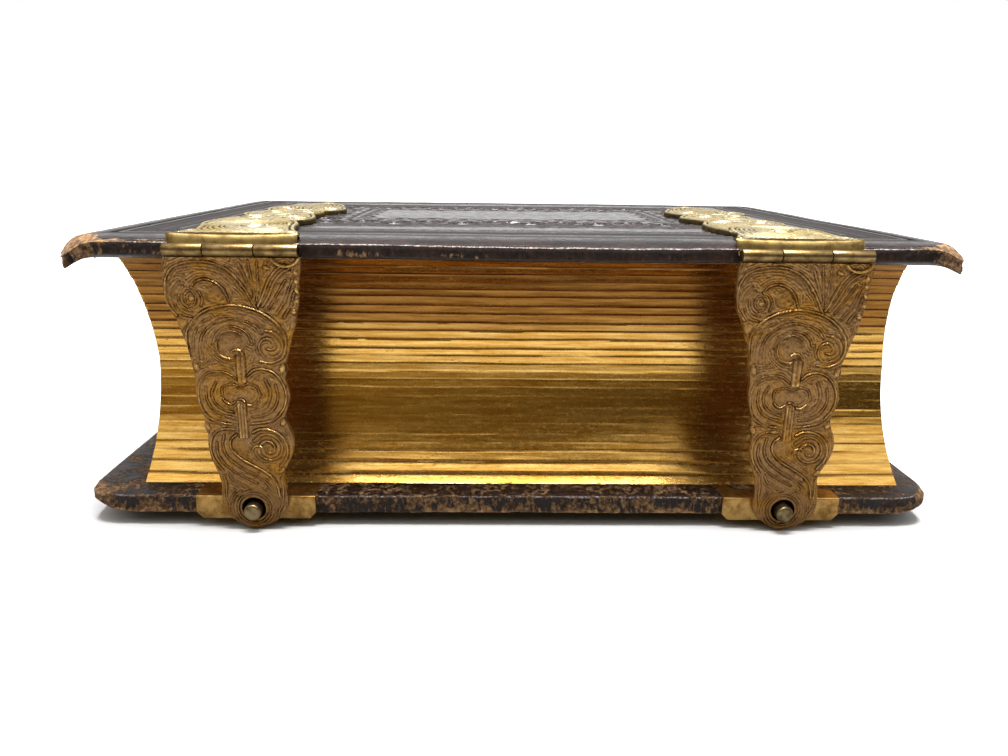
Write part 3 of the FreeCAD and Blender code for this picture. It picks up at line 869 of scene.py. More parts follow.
# Relief: heights on a grid, built up from curves as a stamping die is.
class Relief:
    def __init__(self, x, z, edge, ground, groove):
        self.x, self.z, self.edge, self.groove = x, z, edge, groove
        self.ground = np.zeros(x.shape) + ground
        self.nearest = edge.copy()   # distance from the nearest line or outline
        self.line, self.raised, self.smooth, self.sunk = (np.zeros(x.shape) for _ in range(4))

    def distance(self, line, within=None):
        found = np.full(self.x.shape, 99.0)
        near = np.full(self.x.shape, True)
        if within:
            low, high = line.min(0) - within, line.max(0) + within
            near = (self.x > low[0]) & (self.x < high[0]) & (self.z > low[1]) & (self.z < high[1])
        x, z = self.x[near], self.z[near]
        best = np.full(x.shape, 99.0)
        for (ax, az), (bx, bz) in zip(line[:-1], line[1:]):
            dx, dz = bx - ax, bz - az
            t = np.clip(((x - ax) * dx + (z - az) * dz) / (dx * dx + dz * dz + 1e-12), 0, 1)
            best = np.minimum(best, np.hypot(x - ax - t * dx, z - az - t * dz))
        found[near] = best
        return found

    def swell(self, inside, crown, rise, groove):   # a raised form, after the groove round it
        self.raised = self.raised - groove
        self.raised = np.where(inside, np.maximum(self.raised, rise * crown), self.raised)

    def rim(self, points, half, rise, closed=False, echo=True, groove=None):   # echo: engraving follows it
        groove = self.groove if groove is None else groove
        d = self.distance(curveThrough(points, 0.3, closed), None if echo else 5 * half)
        if echo:
            self.nearest = np.minimum(self.nearest, d)
        crown = np.sqrt(np.clip(1 - (d / half) ** 2, 0, 1))
        groove = groove * np.exp(-((d - 1.7 * half) / (0.6 * half)) ** 2) * (d > half)
        self.swell(d < half, crown, rise, groove)
        self.line = np.maximum(self.line, step(1.5 * half, 0.8 * half, d))

    def coil(self, centre, outer, inner, start, turns, half, rise, hand):   # hand: 1 turns left, -1 right
        angles = np.linspace(0, turns, max(8, int(turns * 10)))
        radii = outer + (inner - outer) * angles / turns
        turn = math.radians(start) + hand * angles * 2 * math.pi
        points = np.column_stack([centre[0] + radii * np.cos(turn), centre[1] + radii * np.sin(turn)])
        self.rim(points, half, rise)

    def oval(self, centre, reach, tilt=0.0):   # distance from an oval's middle, 1 on its outline
        c, s = math.cos(math.radians(tilt)), math.sin(math.radians(tilt))
        dx, dz = self.x - centre[0], self.z - centre[1]
        return np.hypot((dx * c + dz * s) / reach[0], (dz * c - dx * s) / reach[1])

    def window(self, centre, reach, sink=0.12, tilt=0.0):
        inside = step(1.0, 0.8, self.oval(centre, reach, tilt))
        self.smooth = np.maximum(self.smooth, inside)
        self.sunk = np.maximum(self.sunk, sink * inside)

    def bead(self, centre, reach, rise, tilt=0.0):
        e = self.oval(centre, reach, tilt)
        crown = np.sqrt(np.clip(1 - e ** 2, 0, 1))
        self.swell(e < 1, crown, rise, 0.08 * np.exp(-((e - 1.25) / 0.22) ** 2))
        self.smooth = np.maximum(self.smooth, step(1.25, 0.95, e))

    def ribs(self, x, z, count, rise=0.08):   # a fluted stem, between the limits x and z
        middle, half = (x[0] + x[1]) / 2, (x[1] - x[0]) / 2
        along = (self.z > z[0]) * (self.z < z[1])
        within = step(half + 0.12, half - 0.12, np.abs(self.x - middle)) * along
        wave = np.abs(np.sin(math.pi * count * (self.x - x[0]) / (x[1] - x[0])))
        self.raised = self.raised * (1 - within) + within * rise * (1.6 * np.sqrt(wave) - 0.6)
        self.smooth = np.maximum(self.smooth, within)
        for side in x:
            self.raised = self.raised - 0.1 * (np.exp(-((self.x - side) / 0.12) ** 2) * along)

    def finish(self, v):   # bands domed between the lines, engraved along them; outline rounded off
        x, z = self.x, self.z
        free = (1 - self.smooth) * (1 - 0.8 * self.line)
        echo = self.nearest + v["wander"] * clouds(x / 2.2, z / 2.2, 300)
        dome = v["dome"] * (1 - np.exp(-self.nearest / 0.7))
        wave = 0.5 - 0.5 * np.cos(2 * math.pi * echo / v["strokePitch"])
        deep = v["strokeDepth"] * np.clip(0.8 + 1.3 * clouds(x / 0.9, z / 0.9, 310), 0.0, 1.4)
        height = self.ground + dome - self.sunk + self.raised - deep * wave * free
        height = height + 0.03 * clouds(x / 3, z / 3, 320) + 0.02 * clouds(x * 2.2, z * 2.2, 330)
        height = height + 0.05 * self.smooth * clouds(x * 1.6, z * 1.6, 340)
        limit = self.ground * v["edgeShare"] + 0.6 * np.sqrt(np.clip(self.edge / 0.5, 0, 1))
        height = np.minimum(np.minimum(height, limit), v["thickness"])
        blurred = height.copy()
        for _ in range(24):   # what stands out of the blurred relief is lighter, as rubbed brass and as a painted highlight; what lies below is dark
            padded = np.pad(blurred, 1, mode="edge")
            blurred = (padded[:-2, 1:-1] + padded[2:, 1:-1] + padded[1:-1, :-2] + padded[1:-1, 2:]) / 4
        above = height - blurred
        raised = 0.5 + np.where(above > 0, v["crestShare"], v["inkShare"]) * above
        return height, {"raised": np.clip(raised, 0, 1)}


def outlineAt(points, z):   # smooth side of an outline, one place for each height
    line = curveThrough(points, 0.2)
    order = np.argsort(line[:, 1])
    return np.interp(z, line[order, 1], line[order, 0])


# Clasp arms: stamped brass, scrolls over the whole face, an eye at the foot, a barrel at the head.
arm = {
    "spacing": 0.118, "columns": 180, "thickness": 1.4,
    "ground": 0.98, "dome": 0.2, "edgeShare": 1.0, "groove": 0.06,   # heights of the relief
    "strokePitch": 0.46, "strokeDepth": 0.1, "wander": 0.35,   # engraved strokes
    "inkShare": 1.7, "crestShare": 3.0,   # contrast of hollows and crests
    "foot": (0.9, 3.6, 5.8, 4.95),   # rounded foot: middle, height, half width, half height
    "nib": (0.2, 0.4, 1.3),   # small point under it: place, length, half width
    "eyeRing": 2.85, "eyeRadius": 2.12, "eyeHeight": 2.15, "swingGap": 0.1, "catchGap": 0.1,
    "knuckle": (-4.3, 3.8),   # middle barrel, from the middle of the hinge
    "left": [(-11.0, 46.6), (-11.3, 45.3), (-11.4, 42), (-11.3, 40), (-10.9, 38.4), (-10.2, 37.2),
             (-9.6, 35.8), (-8.9, 33.4), (-8.3, 31.2), (-7.9, 28.6), (-7.6, 26.3), (-7.65, 24),
             (-7.4, 22), (-6.8, 19.8), (-6.6, 18.7), (-6.8, 17.4), (-6.3, 16), (-6.4, 14), (-6.1, 11.7),
             (-5.5, 10), (-4.9, 8), (-4.75, 6), (-4.9, 3.6)],
    "right": [(11.4, 46.6), (11.2, 44.7), (10.9, 43), (10.8, 41), (10.6, 39), (10.1, 37), (9.8, 35.4),
              (9.1, 33.4), (8.6, 31.5), (8.1, 29.9), (7.8, 28.8), (8.0, 27.5), (7.6, 26.1), (8, 24.6),
              (8.2, 22.9), (7.7, 21), (7.2, 19.4), (7.5, 17.9), (8.1, 16.5), (8.4, 14.8), (8.2, 13),
              (7.5, 11.3), (6.6, 9.5), (6.2, 8), (6.5, 6.2), (6.7, 3.6)],
}


def armOrnament(r):
    # upper left scroll, its volute and its smooth field
    r.rim([(-9.6, 36.9), (-10.9, 38.9), (-11.1, 41), (-10.8, 43.2), (-9.6, 44.9), (-7, 45.8), (-4, 45.8),
           (-1.4, 45), (0.4, 43.6), (1.7, 41.8), (2.8, 39.8), (3.6, 38.2)], 0.14, 0.14)
    r.rim([(-6.9, 41.6), (-6, 42.6), (-4.6, 43), (-3, 42.6), (-1.9, 41.7), (-1.2, 40.5), (-0.8, 39.2)],
          0.12, 0.21)
    r.rim([(-6.9, 41.6), (-6.2, 41.4), (-5.5, 40.7), (-5.2, 39.7), (-5.5, 38.6)], 0.11, 0.11)
    r.rim([(-7.6, 40.9), (-7, 41.1), (-6.4, 40.6), (-6.2, 39.8), (-6.5, 38.9), (-7.3, 38.4)], 0.11, 0.12)
    for reach in (1.2, 2.1, 3.0):   # arcs round the volute
        r.rim([(-6.9 - reach * math.cos(t), 40 - reach * math.sin(t) * 1.1)
               for t in np.linspace(-0.9, 1.5, 6)], 0.11, 0.06)
    r.bead((-6.9, 39.9), (0.42, 0.42), -0.3)
    r.window((-3.2, 40.7), (1.9, 1.8), tilt=-20)
    # leaf fanning up at the right, its tip rolled over
    for points, half, rise in (
            ([(3.9, 38.6), (4.7, 40.2), (5.4, 41.8), (6.1, 43.3), (7.3, 44.7), (8.6, 45.4)], 0.16, 0.21),
            ([(4.6, 38.6), (5.5, 40), (6.3, 41.6), (7, 43), (8.2, 44.2), (9.4, 44.8)], 0.16, 0.14),
            ([(3.4, 38.8), (2.6, 42), (1.2, 45.8)], 0.11, 0.08),
            ([(3.5, 39), (3.2, 42.4), (2.7, 46.2)], 0.11, 0.08),
            ([(3.7, 39.4), (4.1, 42.4), (4.2, 46)], 0.11, 0.08),
            ([(5.6, 38.2), (7, 40.4), (8.6, 43)], 0.11, 0.08),
            ([(6.9, 37.4), (8.4, 39.8), (9.9, 43.4)], 0.11, 0.08),
            ([(8, 36.8), (9.2, 38.6), (10, 41)], 0.11, 0.12)):
        r.rim(points, half, rise)
    r.rim([(6.6, 46.4), (7.2, 45.7), (8.3, 45.2), (9.4, 45.2), (10.4, 45.7), (11, 46.4)], 0.23, 0.29,
          echo=False)
    r.bead((5.7, 45), (0.6, 0.3), 0.3, -25)
    r.bead((9.8, 37.7), (0.42, 0.42), 0.2)
    for z in (39.6, 41.2, 42.8, 44.2):   # nicks down the leaf's edge
        r.bead((10.4, z), (0.3, 0.5), 0.1, 20)
    # widest scroll
    r.rim([(-8.1, 30), (-8.4, 32.4), (-8.2, 34.3), (-7.3, 35.8), (-6.2, 36.9), (-5, 37.7), (-3.4, 38.3),
           (-1.2, 38.7), (1, 38.6), (3, 38.1), (4.6, 37.4), (6, 36.4), (7.2, 35.2), (8, 33.6), (8.1, 31.8),
           (7.5, 30.1), (6.4, 29.2), (5, 28.9), (3.6, 29.2)], 0.14, 0.22)
    r.rim([(-7.3, 29.6), (-7.4, 31.8), (-7, 33.9), (-5.9, 35.5), (-4.2, 36.6)], 0.11, 0.08)
    r.rim([(-6.2, 29.6), (-6.3, 31.6), (-5.8, 33.5), (-4.6, 35), (-2.8, 36.1), (-0.6, 36.4), (1.6, 36),
           (3.2, 35.2), (4.2, 34)], 0.11, 0.08)
    r.coil((5.2, 31.8), 2.7, 0.5, 100, 1.6, 0.14, 0.13, -1)
    r.rim([(-4.1, 32.3), (-3.5, 33.7), (-2.3, 34.8), (-0.7, 35.1), (0.8, 34.7), (1.9, 33.8), (2.4, 32.6)],
          0.11, 0.12)
    r.rim([(-3.4, 32.6), (-3.5, 31.4), (-3, 30.3), (-2, 29.7), (-1, 29.6), (-0.4, 30)], 0.12, 0.24)
    r.rim([(-3.4, 32.6), (-2.8, 33.7), (-1.7, 34.3), (-0.4, 34.3), (0.7, 33.7)], 0.11, 0.12)
    r.window((-0.9, 32.1), (2.5, 2.4))
    r.rim([(-1.1, 30.8), (-0.4, 31.2), (0.4, 31), (0.9, 30.2)], 0.14, 0.27, echo=False)
    r.bead((2.5, 32.4), (0.5, 0.34), -0.3, 60)
    r.ribs((-0.5, 1.1), (25.4, 30), 2, 0.12)
    # paired scrolls round the kidney-shaped field
    r.rim([(-6.6, 20), (-7.2, 22), (-7.2, 24.2), (-6.6, 26), (-5.4, 27), (-3.8, 27.3), (-2, 27), (-0.7, 26)],
          0.12, 0.12)
    r.rim([(1.2, 26.6), (2.4, 27.6), (4.2, 27.8), (5.7, 27.2), (6.8, 26), (7.5, 24.4), (7.6, 22.6),
           (7.1, 20.9), (6.2, 19.7)], 0.13, 0.21)
    r.rim([(-5.9, 24.6), (-5.9, 22.4), (-5, 20.6), (-3.2, 19.5), (-1.2, 19)], 0.11, 0.08)
    r.rim([(-4.2, 25.4), (-5, 23.6), (-4.6, 21.8), (-3.4, 20.7), (-1.6, 20)], 0.11, 0.08)
    r.rim([(5.9, 25), (6.2, 23), (5.6, 21.2), (4.2, 19.9), (1.6, 19.2)], 0.11, 0.08)
    r.rim([(4.2, 26), (4.9, 24), (4.6, 22.2), (3.4, 20.9), (1.4, 20.2)], 0.11, 0.08)
    r.rim([(-6.6, 19.9), (-5.4, 18.8), (-4, 18.2), (-1.4, 17.8)], 0.13, 0.12)
    r.rim([(6.4, 19.7), (5.2, 18.8), (3.8, 18.3), (1.4, 18)], 0.13, 0.12)
    r.rim([(-3.2, 23.2), (-3.1, 24.5), (-1.6, 25.1), (0, 24.8), (1.6, 25.2), (2.7, 24.6), (3.1, 23.4),
           (2.7, 22.2)], 0.11, 0.08)
    r.rim([(-3.1, 22.4), (-2.4, 21.7), (-1.7, 21.6), (-1.1, 22)], 0.12, 0.24)
    r.rim([(-0.6, 22.3), (0, 22.4), (0.5, 22)], 0.11, 0.24)
    r.rim([(0.9, 21.5), (1.6, 21.4), (2.5, 22)], 0.12, 0.24)
    r.window((-0.1, 23.4), (2.7, 1.5))
    r.ribs((-0.9, 0.7), (15.4, 21.6), 3, 0.12)
    for centre, reach, tilt in (((-7.2, 28.3), (0.42, 0.8), 10), ((7.3, 28), (0.42, 0.8), -10),
                                ((-6.3, 17.4), (0.45, 0.7), 20), ((6.8, 18.3), (0.42, 0.6), -20)):
        r.bead(centre, reach, 0.14, tilt)
    # lowest pair: an open scroll at the left, a coil at the right, the long S between them
    r.rim([(-1.6, 17), (-3.6, 17), (-5.1, 16.3), (-5.9, 14.8), (-6, 13), (-5.6, 11.4), (-4.9, 10.2),
           (-4.2, 9.2)], 0.13, 0.12)
    r.rim([(1.4, 16.4), (2.6, 17), (4.2, 17), (5.9, 16.2), (7, 14.8), (7.3, 13), (6.8, 11.4), (5.8, 10.2)],
          0.14, 0.22)
    r.coil((4, 13.4), 2.9, 0.4, 150, 1.9, 0.14, 0.15, -1)
    r.rim([(-1.4, 16), (-2.3, 15.2), (-2.6, 14.2), (-2.2, 13), (-1.1, 11.8), (0, 11), (1.2, 10.3), (2.6, 9.4),
           (3.7, 8.6), (4.7, 7.4), (5.2, 6), (5.4, 4.4)], 0.13, 0.26)
    r.rim([(-3.6, 15.8), (-3.9, 14), (-3.4, 12.2), (-2.2, 10.8), (-0.6, 9.6), (1.4, 8.4), (3, 7.2),
           (4.1, 5.6)], 0.11, 0.08)
    r.rim([(-4.9, 14.6), (-4.9, 12.6), (-4, 10.8), (-2.4, 9.2), (-0.4, 8), (1.6, 6.9)], 0.11, 0.08)
    r.window((-0.7, 13.7), (1.7, 1.5), tilt=-30)
    r.rim([(1.1, 13), (1.6, 13.8), (2.4, 14), (3, 13.6)], 0.13, 0.27, echo=False)
    r.bead((2.9, 8.6), (0.9, 0.45), -0.16, -40)
    r.bead((6, 9.3), (0.6, 0.34), 0.24, 40)
    # strokes sweeping down into the ring of the eye
    for points in ([(-4.2, 8.4), (-3.9, 6.4), (-4, 4.4), (-3.4, 2.2)], [(-3.4, 9), (-2.4, 7.2), (-0.6, 6.2)],
                   [(5.9, 8), (6, 5), (5.6, 2.6), (4.4, 0.6)]):
        r.rim(points, 0.12, 0.08)
    for reach, start, end in ((3.4, 95, 250), (3.9, 120, 235), (4.4, 135, 215),
                              (3.4, -75, 65), (3.9, -55, 60), (4.5, -40, 55)):
        r.rim([(0.65 + reach * math.cos(t), arm["eyeHeight"] + reach * math.sin(t))
               for t in np.radians(np.linspace(start, end, 7))], 0.1, 0.05)
    r.rim([(0.65 + arm["eyeRing"] * math.cos(t), arm["eyeHeight"] + arm["eyeRing"] * math.sin(t))
           for t in np.arange(0, 2 * math.pi, math.pi / 6)], 0.11, 0.04, closed=True, groove=0.14)


def stampedPlate(name, places, fields, back, axis):   # relief face, walls and flat back
    plate = closeUp(gridPiece(name, places, fields), fill=False)
    takeUp(plate)
    bpy.ops.object.mode_set(mode="EDIT")
    bpy.ops.mesh.select_mode(type="EDGE")
    bpy.ops.mesh.select_all(action="DESELECT")
    bpy.ops.mesh.select_non_manifold()
    bpy.ops.mesh.extrude_edges_move()
    flat = [1, 1, 1]
    flat[axis] = 0
    bpy.ops.transform.resize(value=flat, center_override=toFrame(back))
    bpy.ops.mesh.edge_face_add()
    bpy.ops.mesh.select_all(action="SELECT")
    bpy.ops.mesh.normals_make_consistent(inside=False)
    bpy.ops.object.mode_set(mode="OBJECT")
    return plate


def outlinedGrid(v, start):   # rows from the start to the round foot, columns from side to side
    middle, footAt, half, drop = v["foot"]
    way = 1 if footAt > start else -1
    run = np.linspace(start, footAt, int(abs(footAt - start) / v["spacing"]))
    turns = np.linspace(0, math.pi / 2, 44)[1:]
    t = np.concatenate([run, footAt + way * drop * np.sin(turns)])
    fade = np.concatenate([run * 0, np.cos(turns)])
    inFoot = np.arange(len(t)) >= len(run)
    left = np.where(inFoot, middle - half * fade, outlineAt(v["left"], t))[:, None]
    right = np.where(inFoot, middle + half * fade, outlineAt(v["right"], t))[:, None]
    x = left + (right - left) * np.linspace(0, 1, v["columns"])
    edge = np.minimum(x - left, right - x)
    t = np.broadcast_to(t[:, None], x.shape).copy()
    edge = np.minimum(edge, np.abs(t - (footAt + way * drop)) * 1.4 + 0.02)
    at, length, half = v["nib"]
    point = np.exp(-((x - at) / half) ** 2) * step(0.75, 1.0, np.abs(t - footAt) / drop)
    return x, t + way * length * point * inFoot[:, None], edge


def bothSides(left, name):   # the left piece and its twin at the right hinge
    shift = centreOf("right_hinge_pin") - centreOf("left_hinge_pin")
    return (left, "left"), (copied(left, name, shift), "right")


def buildArm():   # the left one, in its place
    v = arm
    _, high = (fromFrame(corner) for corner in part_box("left_clasp_arm"))
    pin = centreOf("left_hinge_pin")
    radius = high[2] - pin[2]
    top = pin[2] - radius - v["swingGap"]
    back = fromFrame(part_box("left_catch")[0])[1] - v["catchGap"]
    x, z, edge = outlinedGrid(v, top)
    relief = Relief(x, z, edge, v["ground"], v["groove"])
    armOrnament(relief)
    height, fields = relief.finish(v)
    plate = stampedPlate("left_clasp", np.stack([x + pin[0], back - height, z], 2), fields, (0, back, 0), 1)
    deselect()
    bpy.ops.mesh.primitive_cylinder_add(vertices=64, radius=v["eyeRadius"] * mm, depth=8 * mm,
                                        location=toFrame((centreOf("left_stud")[0], back, v["eyeHeight"])),
                                        rotation=(math.pi / 2, 0, 0))
    cutter = seated(named("eye_cutter"))
    applied(plate, "BOOLEAN", operation="DIFFERENCE", object=cutter, solver="EXACT")
    bpy.data.objects.remove(cutter)
    start, end = pin[0] + v["knuckle"][0], pin[0] + v["knuckle"][1]
    roll = barrel("roll", start, end, pin[1], pin[2], radius - 0.01)
    deselect()
    bpy.ops.mesh.primitive_cube_add(size=1, location=toFrame(((start + end) / 2, back - 0.35, top + 0.1)),
                                    scale=((end - start) * mm, 0.6 * mm, 1.9 * mm))
    tongue = applied(seated(named("tongue")), "BEVEL", width=0.15 * mm, segments=2)
    for part in (roll, tongue):
        writeField(part, "raised", np.full(len(part.data.vertices), 0.75))
    parts = [dressed(plate, armBrass), dressed(roll, rollBrass), dressed(tongue, armBrass)]
    return joined(parts, "left_clasp")


for piece, side in bothSides(smoothed(buildArm(), 42), "right_clasp"):
    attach(piece, side + "_clasp")
    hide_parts(side + "_clasp_arm")
print("clasps done")


# Mounts: stamped plates on the front cover, folded over its fore edge to the hinge.
mount = {
    "spacing": 0.2, "columns": 120, "thickness": 1.4, "front": 1.0,
    "ground": (0.42, 0.9), "rises": (5.0, 13.0),   # height at the fore edge and further back, and where
    "dome": 0.24, "edgeShare": 0.85, "groove": 0.2,
    "strokePitch": 0.7, "strokeDepth": 0.12, "wander": 0.3,
    "inkShare": 4.5, "crestShare": 3.0,
    "foot": (-0.4, 76.5, 4.4, 7.5), "nib": (0, 0, 1),   # as on the clasps
    "left": [(-10.4, 0.9), (-10.4, 3), (-10.0, 5.5), (-9.0, 7.6), (-8.9, 9.6), (-9.8, 13), (-10.7, 17),
             (-10.8, 22), (-10.4, 26.5), (-9.2, 30.5), (-8.0, 33.6), (-9.0, 37), (-10.6, 41), (-10.7, 45),
             (-9.2, 49), (-8.3, 52), (-9.6, 56), (-10.3, 61), (-9.6, 65.5), (-8.2, 69.5), (-7.4, 73),
             (-4.8, 76.5)],
    "right": [(10.4, 0.9), (10.3, 2.8), (9.6, 5.2), (8.4, 8), (7.6, 12), (7.0, 17), (5.6, 21.5), (4.6, 24),
              (6.4, 26.5), (6.9, 30), (6.4, 34.5), (5.4, 38.5), (4.6, 41.5), (5.2, 44.5), (5.4, 48),
              (4.8, 51.5), (7.1, 54.5), (8.1, 58.5), (7.7, 63), (5.9, 67), (6.2, 70), (5.3, 73.5),
              (4.0, 76.5)],
    "knuckles": ((-10.95, -4.45), (3.95, 10.95)),   # outer barrels, from the middle of the hinge
    "pinRadius": 0.5, "play": 0.01,   # the barrels are as high as the clasp's, less this play
    # folded strip: (behind the covers' edge, height above the front cover, half width)
    "fold": [(2.4, 0.5, 10.8), (1.6, 0.62, 10.8), (0.95, 0.66, 10.8), (0.62, 0.56, 10.8), (0.42, 0.32, 10.8),
             (0.26, 0.02, 10.8), (0.1, -0.34, 10.8), (0.0, -0.7, 10.8), (-0.2, -1.2, 10.7),
             (-0.44, -2.1, 10.6), (-0.16, -2.2, 10.6), (0.04, -1.3, 10.7), (0.16, -0.8, 10.8),
             (0.4, -0.3, 10.8), (0.9, 0.05, 10.8), (2.4, 0.15, 10.8)],
    "shift": -0.45, "dip": 0.3,   # the worn middle of its top
}


def mountOrnament(r):
    v = mount
    for side, way in (("left", 1), ("right", -1)):
        r.rim([(x + way * 0.5, y) for x, y in v[side][1:]], 0.3, 0.14)
    # large scroll at the fore edge, opening to the right
    r.rim([(7.4, 4.6), (2, 3), (-4, 3.6), (-8, 7), (-8.4, 12.4), (-6.6, 18), (-2.6, 21.2), (1.6, 20.8),
           (4.8, 18), (5.8, 14)], 0.32, 0.17)
    r.rim([(6.4, 6.6), (2, 4.8), (-3, 5.4), (-6.4, 8.4), (-6.8, 12.6), (-5.2, 16.8), (-2, 19.2), (1.4, 18.8),
           (3.8, 16.4), (4.4, 13)], 0.26, 0.12)
    r.rim([(5, 8.6), (1.6, 6.8), (-2, 7.4), (-4.8, 9.6), (-5, 13), (-3.6, 16), (-1, 17.4), (1.4, 16.8),
           (2.8, 14.6), (2.6, 12)], 0.24, 0.11)
    r.window((0.2, 12.6), (1.6, 2.6), 0.4)
    r.rim([(-1.2, 10.6), (0, 10), (1.4, 10.8), (2, 12.4)], 0.28, 0.19, echo=False)
    r.bead((8.6, 4.2), (1.2, 0.8), 0.15)
    r.ribs((-1.8, 0.2), (21.8, 26), 3)
    for x, y, way, size in ((-4.8, 31.2, 1, 3.4), (2.8, 31, -1, 3.2), (-4.6, 46, 1, 2.7), (2, 46, -1, 2.6),
                            (-5.2, 59, 1, 3.1), (4.2, 59, -1, 3.1)):
        r.coil((x, y), size, 0.6, 90 - way * 30, 1.7, 0.26, 0.26, way)
    r.window((-0.9, 36.5), (2.0, 2.5), 0.25)
    r.rim([(-3.4, 36.4), (-2.5, 38.8), (-0.9, 39.7), (0.8, 38.8), (1.6, 36.4), (0.8, 34.2), (-0.9, 33.4),
           (-2.6, 34.2)], 0.24, 0.14, closed=True)
    r.ribs((-1.8, 0.2), (41, 44.5), 3)
    r.window((-0.8, 51.5), (1.7, 2.2), 0.25)
    for x, bend in ((-5.6, -3.0), (-3.4, -1.9), (-1.2, -0.9), (1.0, 0.4), (3.2, 1.4), (5.2, 2.6)):
        r.rim([(x * 0.5, 56), (x, 64), (x * 0.85 + bend * 0.3, 72), (bend * 0.5, 81)], 0.28, 0.13)


def buildMount():
    v = mount
    pin = centreOf("left_hinge_pin")
    x, y, edge = outlinedGrid(v, v["front"])
    low, high = v["ground"]
    relief = Relief(x, y, edge, low + (high - low) * step(*v["rises"], y), v["groove"])
    mountOrnament(relief)
    height, fields = relief.finish(v)
    base = albumHeight + 0.02
    plate = stampedPlate("left_mount_plate", np.stack([x + pin[0], y, base + height], 2), fields,
                         (0, 0, base), 2)
    foldY, foldZ, half = (column[:, None] for column in np.array(v["fold"] + v["fold"][:1]).T)
    across = np.linspace(-1, 1, 45)
    corner = np.clip((np.abs(across) - 0.95) / 0.05, 0, 1)   # the ends are bent round
    dip = v["dip"] * (1 - across ** 2) * step(-0.6, 0.7, foldZ)
    fold = gridPiece("fold", np.stack([pin[0] + v["shift"] + half * across,
                                       foldY + 0.5 * corner * (foldZ > -1.4),
                                       albumHeight + foldZ - dip + 0.04 * cloud(across * 5, 1.0, 8)], 2))
    parts = [dressed(plate, mountBrass), dressed(closeUp(fold), foldBrass)]
    reach = (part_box("left_clasp_arm")[1].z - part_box("left_hinge_pin")[0].z) / mm
    radius = reach - v["pinRadius"] - v["play"]
    for start, end in v["knuckles"]:
        roll = barrel("roll", pin[0] + start, pin[0] + end, pin[1], pin[2], radius)
        deselect()
        bpy.ops.mesh.primitive_cube_add(size=1, location=toFrame((pin[0] + (start + end) / 2, -0.9, pin[2])),
                                        scale=((end - start) * mm, 1.2 * mm, 1.3 * mm))
        parts += [dressed(roll, rollBrass), dressed(seated(named("web")), rollBrass)]
    return joined(parts, "left_mount_plate")


for piece, side in bothSides(smoothed(buildMount(), 42), "right_mount_plate"):
    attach(piece, "front_cover")
    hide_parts(side + "_mount")
print("mounts done")


rivets = {
    "plateLength": 84.0, "shares": (0.1, 0.38, 0.72),   # places along a mount
    "shank": 0.8, "above": 0.6, "clench": 1.75, "clenchHeight": 0.4,   # radii and heights
}


def buildMountRivets():   # shanks below the relief, clenched inside the cover
    v = rivets
    low, _ = (fromFrame(corner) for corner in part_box("mount_rivets"))
    bottom = low[2]
    parts = []
    for side in ("left", "right"):
        hinge = centreOf(side + "_hinge_pin")[0]
        for share in v["shares"]:
            for radius, top in ((v["shank"], albumHeight + v["above"]),
                                (v["clench"], bottom + v["clenchHeight"])):
                deselect()
                bpy.ops.mesh.primitive_cylinder_add(
                    vertices=24, radius=radius * mm, depth=(top - bottom) * mm,
                    location=toFrame((hinge, share * v["plateLength"], (bottom + top) / 2)))
                parts.append(applied(seated(named("rivet")), "BEVEL", width=0.08 * mm, segments=2,
                                     limit_method="ANGLE"))
    piece = joined(parts, "mount_rivet_shanks")
    dressed(piece, catchBrass)
    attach(piece, "front_cover")
    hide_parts("mount_rivets")


buildMountRivets()


# Pieces whose shape comes with the frame.
for node, material in {
        "back_pastedown": liningPaper, "front_pastedown": liningPaper, "left_catch": catchBrass,
        "right_catch": catchBrass, "left_stud": studMetal, "right_stud": studMetal, "catch_rivets": studMetal,
        "spine_lining": spineCloth, "tail_band": bandThread, "head_band": bandThread,
        "left_hinge_pin": rollBrass, "right_hinge_pin": rollBrass}.items():
    dressed(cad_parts[node], material)
print("fittings done")


studio = {
    "lens": 28.0, "cameraPlace": (-4.829, -130.717, 62.606),   # album millimetres
    "turn": 1.207, "down": 15.638, "roll": 0.746,   # degrees
    "lampPlace": (0.02, 0.0, 0.7), "lampSize": 0.32, "lampPower": 13.0,
    "bright": 1.12, "key": 1.0,   # the room, and the extra light high up behind the camera
    "sides": 0.3, "above": 0.6,   # how much less the room gives at its far sides and above the far wall
    "dim": 0.13, "horizon": 0.3, "dimColour": (1.0, 0.74, 0.3, 1),   # the dark wall behind the camera
    "turned": 2.0,   # how much darker its right half is
}
floorTones = {
    "start": (0.098, 0.13), "end": (0.3, 0.14),   # metres ahead of the middle: limits of the painted pool of light
    "paintedPool": 0.3, "ground": (0.26, 0.19),   # its grey, and the painted shadow's grey under and ahead of the album
    "seen": (0.76, 0.76, 0.76, 1), "white": (0.13, 0.4),   # for the camera; where it fades to plain white
}


def buildFloor():
    v = floorTones
    deselect()
    bpy.ops.mesh.primitive_plane_add(size=6, location=(0, 0, 0))
    floor = named("floor")
    f = Finish("floor_white", Roughness=0.9, Specular_IOR_Level=0.15)
    seen = f.add("LightPath").outputs["Is Camera Ray"]
    # painted shadow and pool of light: for all but camera rays the floor is greyer under and near the album,
    # lighter further ahead
    ahead = f.times(f.axis(1), -1.0)
    paintedPool = f.math("MINIMUM", f.ramp(ahead, *v["start"]), f.ramp(ahead, *v["end"]))
    shadowAndPool = f.plus(f.times(paintedPool, v["paintedPool"]), f.ramp(ahead, *v["start"], v["ground"]))
    colour = f.add("CombineColor", {0: shadowAndPool, 1: shadowAndPool, 2: shadowAndPool}).outputs[0]
    white = f.times(seen, f.ramp(f.distance((0, 0, 0)), *v["white"]))
    dressed(floor, f.done(Base_Color=f.mix(seen, colour, v["seen"]), Emission_Color=(1, 1, 1, 1),
                          Emission_Strength=white))


